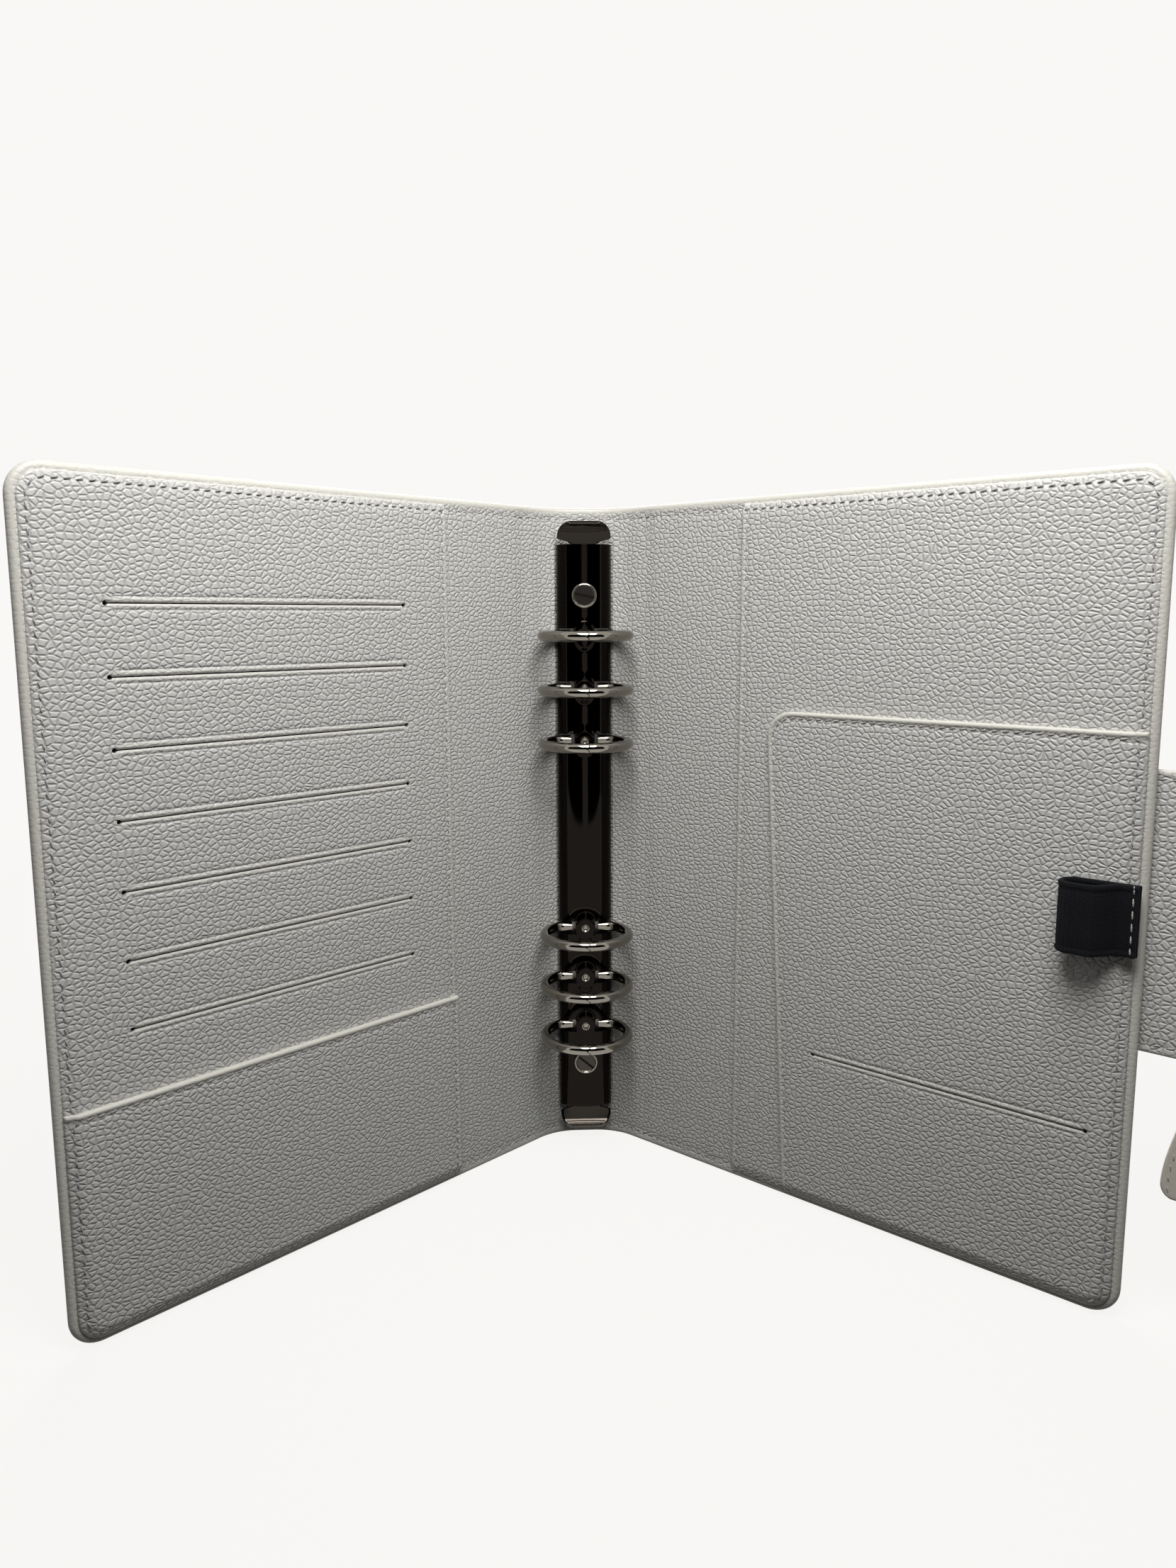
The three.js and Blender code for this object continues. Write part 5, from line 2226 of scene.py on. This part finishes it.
@dataclass
class Studio:
    """A pale floor, soft lamps and the camera."""

    backdrop: str = "#F9F8F6"
    focal_pixels: float = 1570.07
    image_height: float = 2212.0
    sensor: float = 36.0
    camera_place: tuple[float, float, float] = (-17.55, -408.81, 196.85)
    yaw: float = 0.0465
    pitch: float = 0.1474
    roll: float = 0.0035
    floor_size: float = 6000.0
    fill: float = 0.05
    key_power: float = 1.85
    back_power: float = 4.0
    floor_shade: float = 0.07
    bounce: str = "#161616"
    cards: tuple[tuple[float, float], ...] = ((-620, 4), (58, 560))

    @staticmethod
    def showing_rays(tree: bpy.types.NodeTree) -> bpy.types.NodeSocket:
        """Tells the rays that show a thing, straight, through or in a mirror, from those that light others.

        Args:
            tree: The node tree to add to.

        Returns:
            A socket that is one for the rays that show a thing and zero for the others.
        """
        path = add_node(tree, "ShaderNodeLightPath").outputs
        clear = add_node(
            tree, "ShaderNodeMath", {"operation": "MAXIMUM"},
            links={0: path["Is Camera Ray"], 1: path["Is Transmission Ray"]},
        ).outputs[0]
        return add_node(
            tree, "ShaderNodeMath", {"operation": "MAXIMUM"}, links={0: clear, 1: path["Is Glossy Ray"]}
        ).outputs[0]

    def world(self) -> None:
        """Makes the room: pale to the camera and in mirrors, dimmer as a lamp."""
        world = bpy.data.worlds.new("studio")
        bpy.context.scene.world = world
        world.use_nodes = True
        tree = world.node_tree
        tree.nodes.clear()
        mirror = self.showing_rays(tree)
        direction = add_node(tree, "ShaderNodeTexCoord").outputs["Generated"]
        height = add_node(tree, "ShaderNodeSeparateXYZ", links={0: direction}).outputs[2]
        shade = add_node(
            tree, "ShaderNodeMapRange", {"interpolation_type": "SMOOTHSTEP"},
            {"From Min": -0.1, "From Max": 0.85, "To Min": 0.1, "To Max": 1.0}, {"Value": height},
        ).outputs[0]
        lit = add_node(
            tree, "ShaderNodeMath", {"operation": "MULTIPLY"}, {1: self.fill}, {0: shade}
        ).outputs[0]
        strength = add_node(
            tree, "ShaderNodeMix", {"data_type": "FLOAT"}, {3: 1.0}, {0: mirror, 2: lit}
        ).outputs[0]
        back = add_node(
            tree, "ShaderNodeBackground", {}, {"Color": linear(self.backdrop)}, {"Strength": strength}
        )
        add_node(tree, "ShaderNodeOutputWorld", links={"Surface": back.outputs[0]})

    def floor(self) -> None:
        """Lays the floor, which keeps the shadow of the binder."""
        mesh = bpy.data.meshes.new("floor")
        half = self.floor_size / 2 * MM
        mesh.from_pydata(
            [(-half, -half, 0), (half, -half, 0), (half, half, 0), (-half, half, 0)], [], [(0, 1, 2, 3)]
        )
        floor = new_object("floor", mesh)
        material = blank_material("pale_floor")
        tree = material.node_tree
        seen = self.showing_rays(tree)
        tint = add_node(
            tree, "ShaderNodeMix", {"data_type": "RGBA"}, {6: linear(self.bounce), 7: linear(self.backdrop)},
            {0: seen},
        ).outputs[2]
        paint = add_node(tree, "ShaderNodeBsdfDiffuse", links={"Color": tint})
        glow = add_node(
            tree, "ShaderNodeEmission", {}, {"Color": linear(self.backdrop), "Strength": 1.0}
        )
        place = add_node(tree, "ShaderNodeTexCoord").outputs["Object"]
        away = add_node(
            tree, "ShaderNodeVectorMath", {"operation": "LENGTH"}, links={0: place}
        ).outputs["Value"]
        lit = add_node(
            tree, "ShaderNodeMapRange", {"interpolation_type": "SMOOTHSTEP"},
            {"From Min": 300 * MM, "From Max": 900 * MM, "To Min": self.floor_shade, "To Max": 0.0},
            {"Value": away},
        ).outputs[0]
        dark = add_node(
            tree, "ShaderNodeMath", {"operation": "SUBTRACT"}, {0: 1.0}, {1: seen}
        ).outputs[0]
        share = add_node(
            tree, "ShaderNodeMath", {"operation": "MAXIMUM"}, links={0: lit, 1: dark}
        ).outputs[0]
        mix = add_node(
            tree, "ShaderNodeMixShader", links={0: share, 1: glow.outputs[0], 2: paint.outputs[0]}
        )
        close_material(material, mix)
        mesh.materials.append(material)

    def lamp(
        self, name: str, place: Sequence[float], aim: Sequence[float], size: float, power: float
    ) -> None:
        """Hangs a square soft lamp.

        Args:
            name: The lamp's name.
            place: Where it hangs, in millimetres.
            aim: The point that it lights.
            size: Its width.
            power: Its power in watts.
        """
        data = bpy.data.lights.new(name, "AREA")
        data.size = size * MM
        data.energy = power
        thing = bpy.data.objects.new(name, data)
        bpy.context.scene.collection.objects.link(thing)
        thing.location = Vector(place) * MM
        thing.rotation_euler = (Vector(aim) - Vector(place)).to_track_quat("-Z", "Y").to_euler()

    def flag(self) -> None:
        """Stands black cards behind the camera, which the metal mirrors as dark streaks."""
        material = blank_material("black_card_paint")
        paint = add_node(material.node_tree, "ShaderNodeBsdfDiffuse", {}, {"Color": linear("#101010")})
        close_material(material, paint)
        for number, (low, high) in enumerate(self.cards, 1):
            mesh = bpy.data.meshes.new(f"black_card_{number}")
            corners = [(low, -640, 5), (high, -640, 5), (high, -640, 700), (low, -640, 700)]
            mesh.from_pydata([tuple(c * MM for c in corner) for corner in corners], [], [(0, 1, 2, 3)])
            mesh.materials.append(material)
            card = new_object(f"black_card_{number}", mesh)
            card.visible_camera = False

    def camera(self) -> None:
        """Sets the camera to the viewing angle of the picture."""
        sin_yaw, cos_yaw = math.sin(self.yaw), math.cos(self.yaw)
        forward = Vector(
            (sin_yaw * math.cos(self.pitch), cos_yaw * math.cos(self.pitch), -math.sin(self.pitch))
        )
        right = Vector((cos_yaw, -sin_yaw, 0.0))
        down = forward.cross(right)
        level = right * math.cos(self.roll) + down * math.sin(self.roll)
        plumb = -right * math.sin(self.roll) + down * math.cos(self.roll)
        data = bpy.data.cameras.new("camera")
        data.sensor_width = self.sensor
        data.lens = self.focal_pixels / self.image_height * self.sensor
        data.clip_start = 0.01
        thing = bpy.data.objects.new("camera", data)
        bpy.context.scene.collection.objects.link(thing)
        rotation = Matrix((level, -plumb, -forward)).transposed()
        thing.matrix_world = Matrix.Translation(Vector(self.camera_place) * MM) @ rotation.to_4x4()
        bpy.context.scene.camera = thing

    def build(self) -> None:
        """Builds the room, the lamps and the camera."""
        bpy.context.scene.view_settings.view_transform = "Standard"
        self.world()
        self.floor()
        self.lamp("top_lamp", (16, -258, 460), (0, -80, 140), 220, self.key_power)
        self.lamp("back_lamp", (-40, 560, 420), (0, -60, 110), 420, self.back_power)
        self.flag()
        self.camera()


def joint_named(frame: dict, name: str) -> dict:
    """The frame's joint of that name."""
    return next(joint for joint in frame["joints"] if joint["name"] == name)


def main() -> None:
    """Builds the binder's looks around its frame."""
    logging.basicConfig(level=logging.INFO, format="%(name)s: %(message)s")
    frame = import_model()
    hinge = joint_named(frame, "back_cover_hinge")
    angle = math.radians(-min(hinge["range_deg"]))
    lay = Lay(Vector(hinge["pos_m"]) / MM, angle)
    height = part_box("back_cover_shell")[1].z / MM
    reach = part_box("back_cover_shell")[1].x / MM
    rim = 1.4
    width = (reach - lay.hinge.x - rim * (1 + math.sin(angle))) / math.cos(angle) + rim
    finishes = Finishes()
    stitching = Stitching()
    covers = Covers(lay, finishes, stitching, round(width, 1), height)
    covers.build()
    Insides(covers).build()
    PenLoop(covers).build()
    folds = []
    for name in ("flap_root_fold", "flap_tip_fold"):
        spot = Vector(joint_named(frame, name)["pos_m"]) / MM - lay.hinge
        folds.append(spot.x * math.cos(angle) - spot.y * math.sin(angle))
    ClosureFlap(covers, *folds).build()
    PullTag(covers, folds[0]).build()
    Snap(covers, *folds).build()
    Mechanism(finishes, height / 2).build(frame["nodes"])
    Studio().build()


if __name__ == "__main__":
    main()
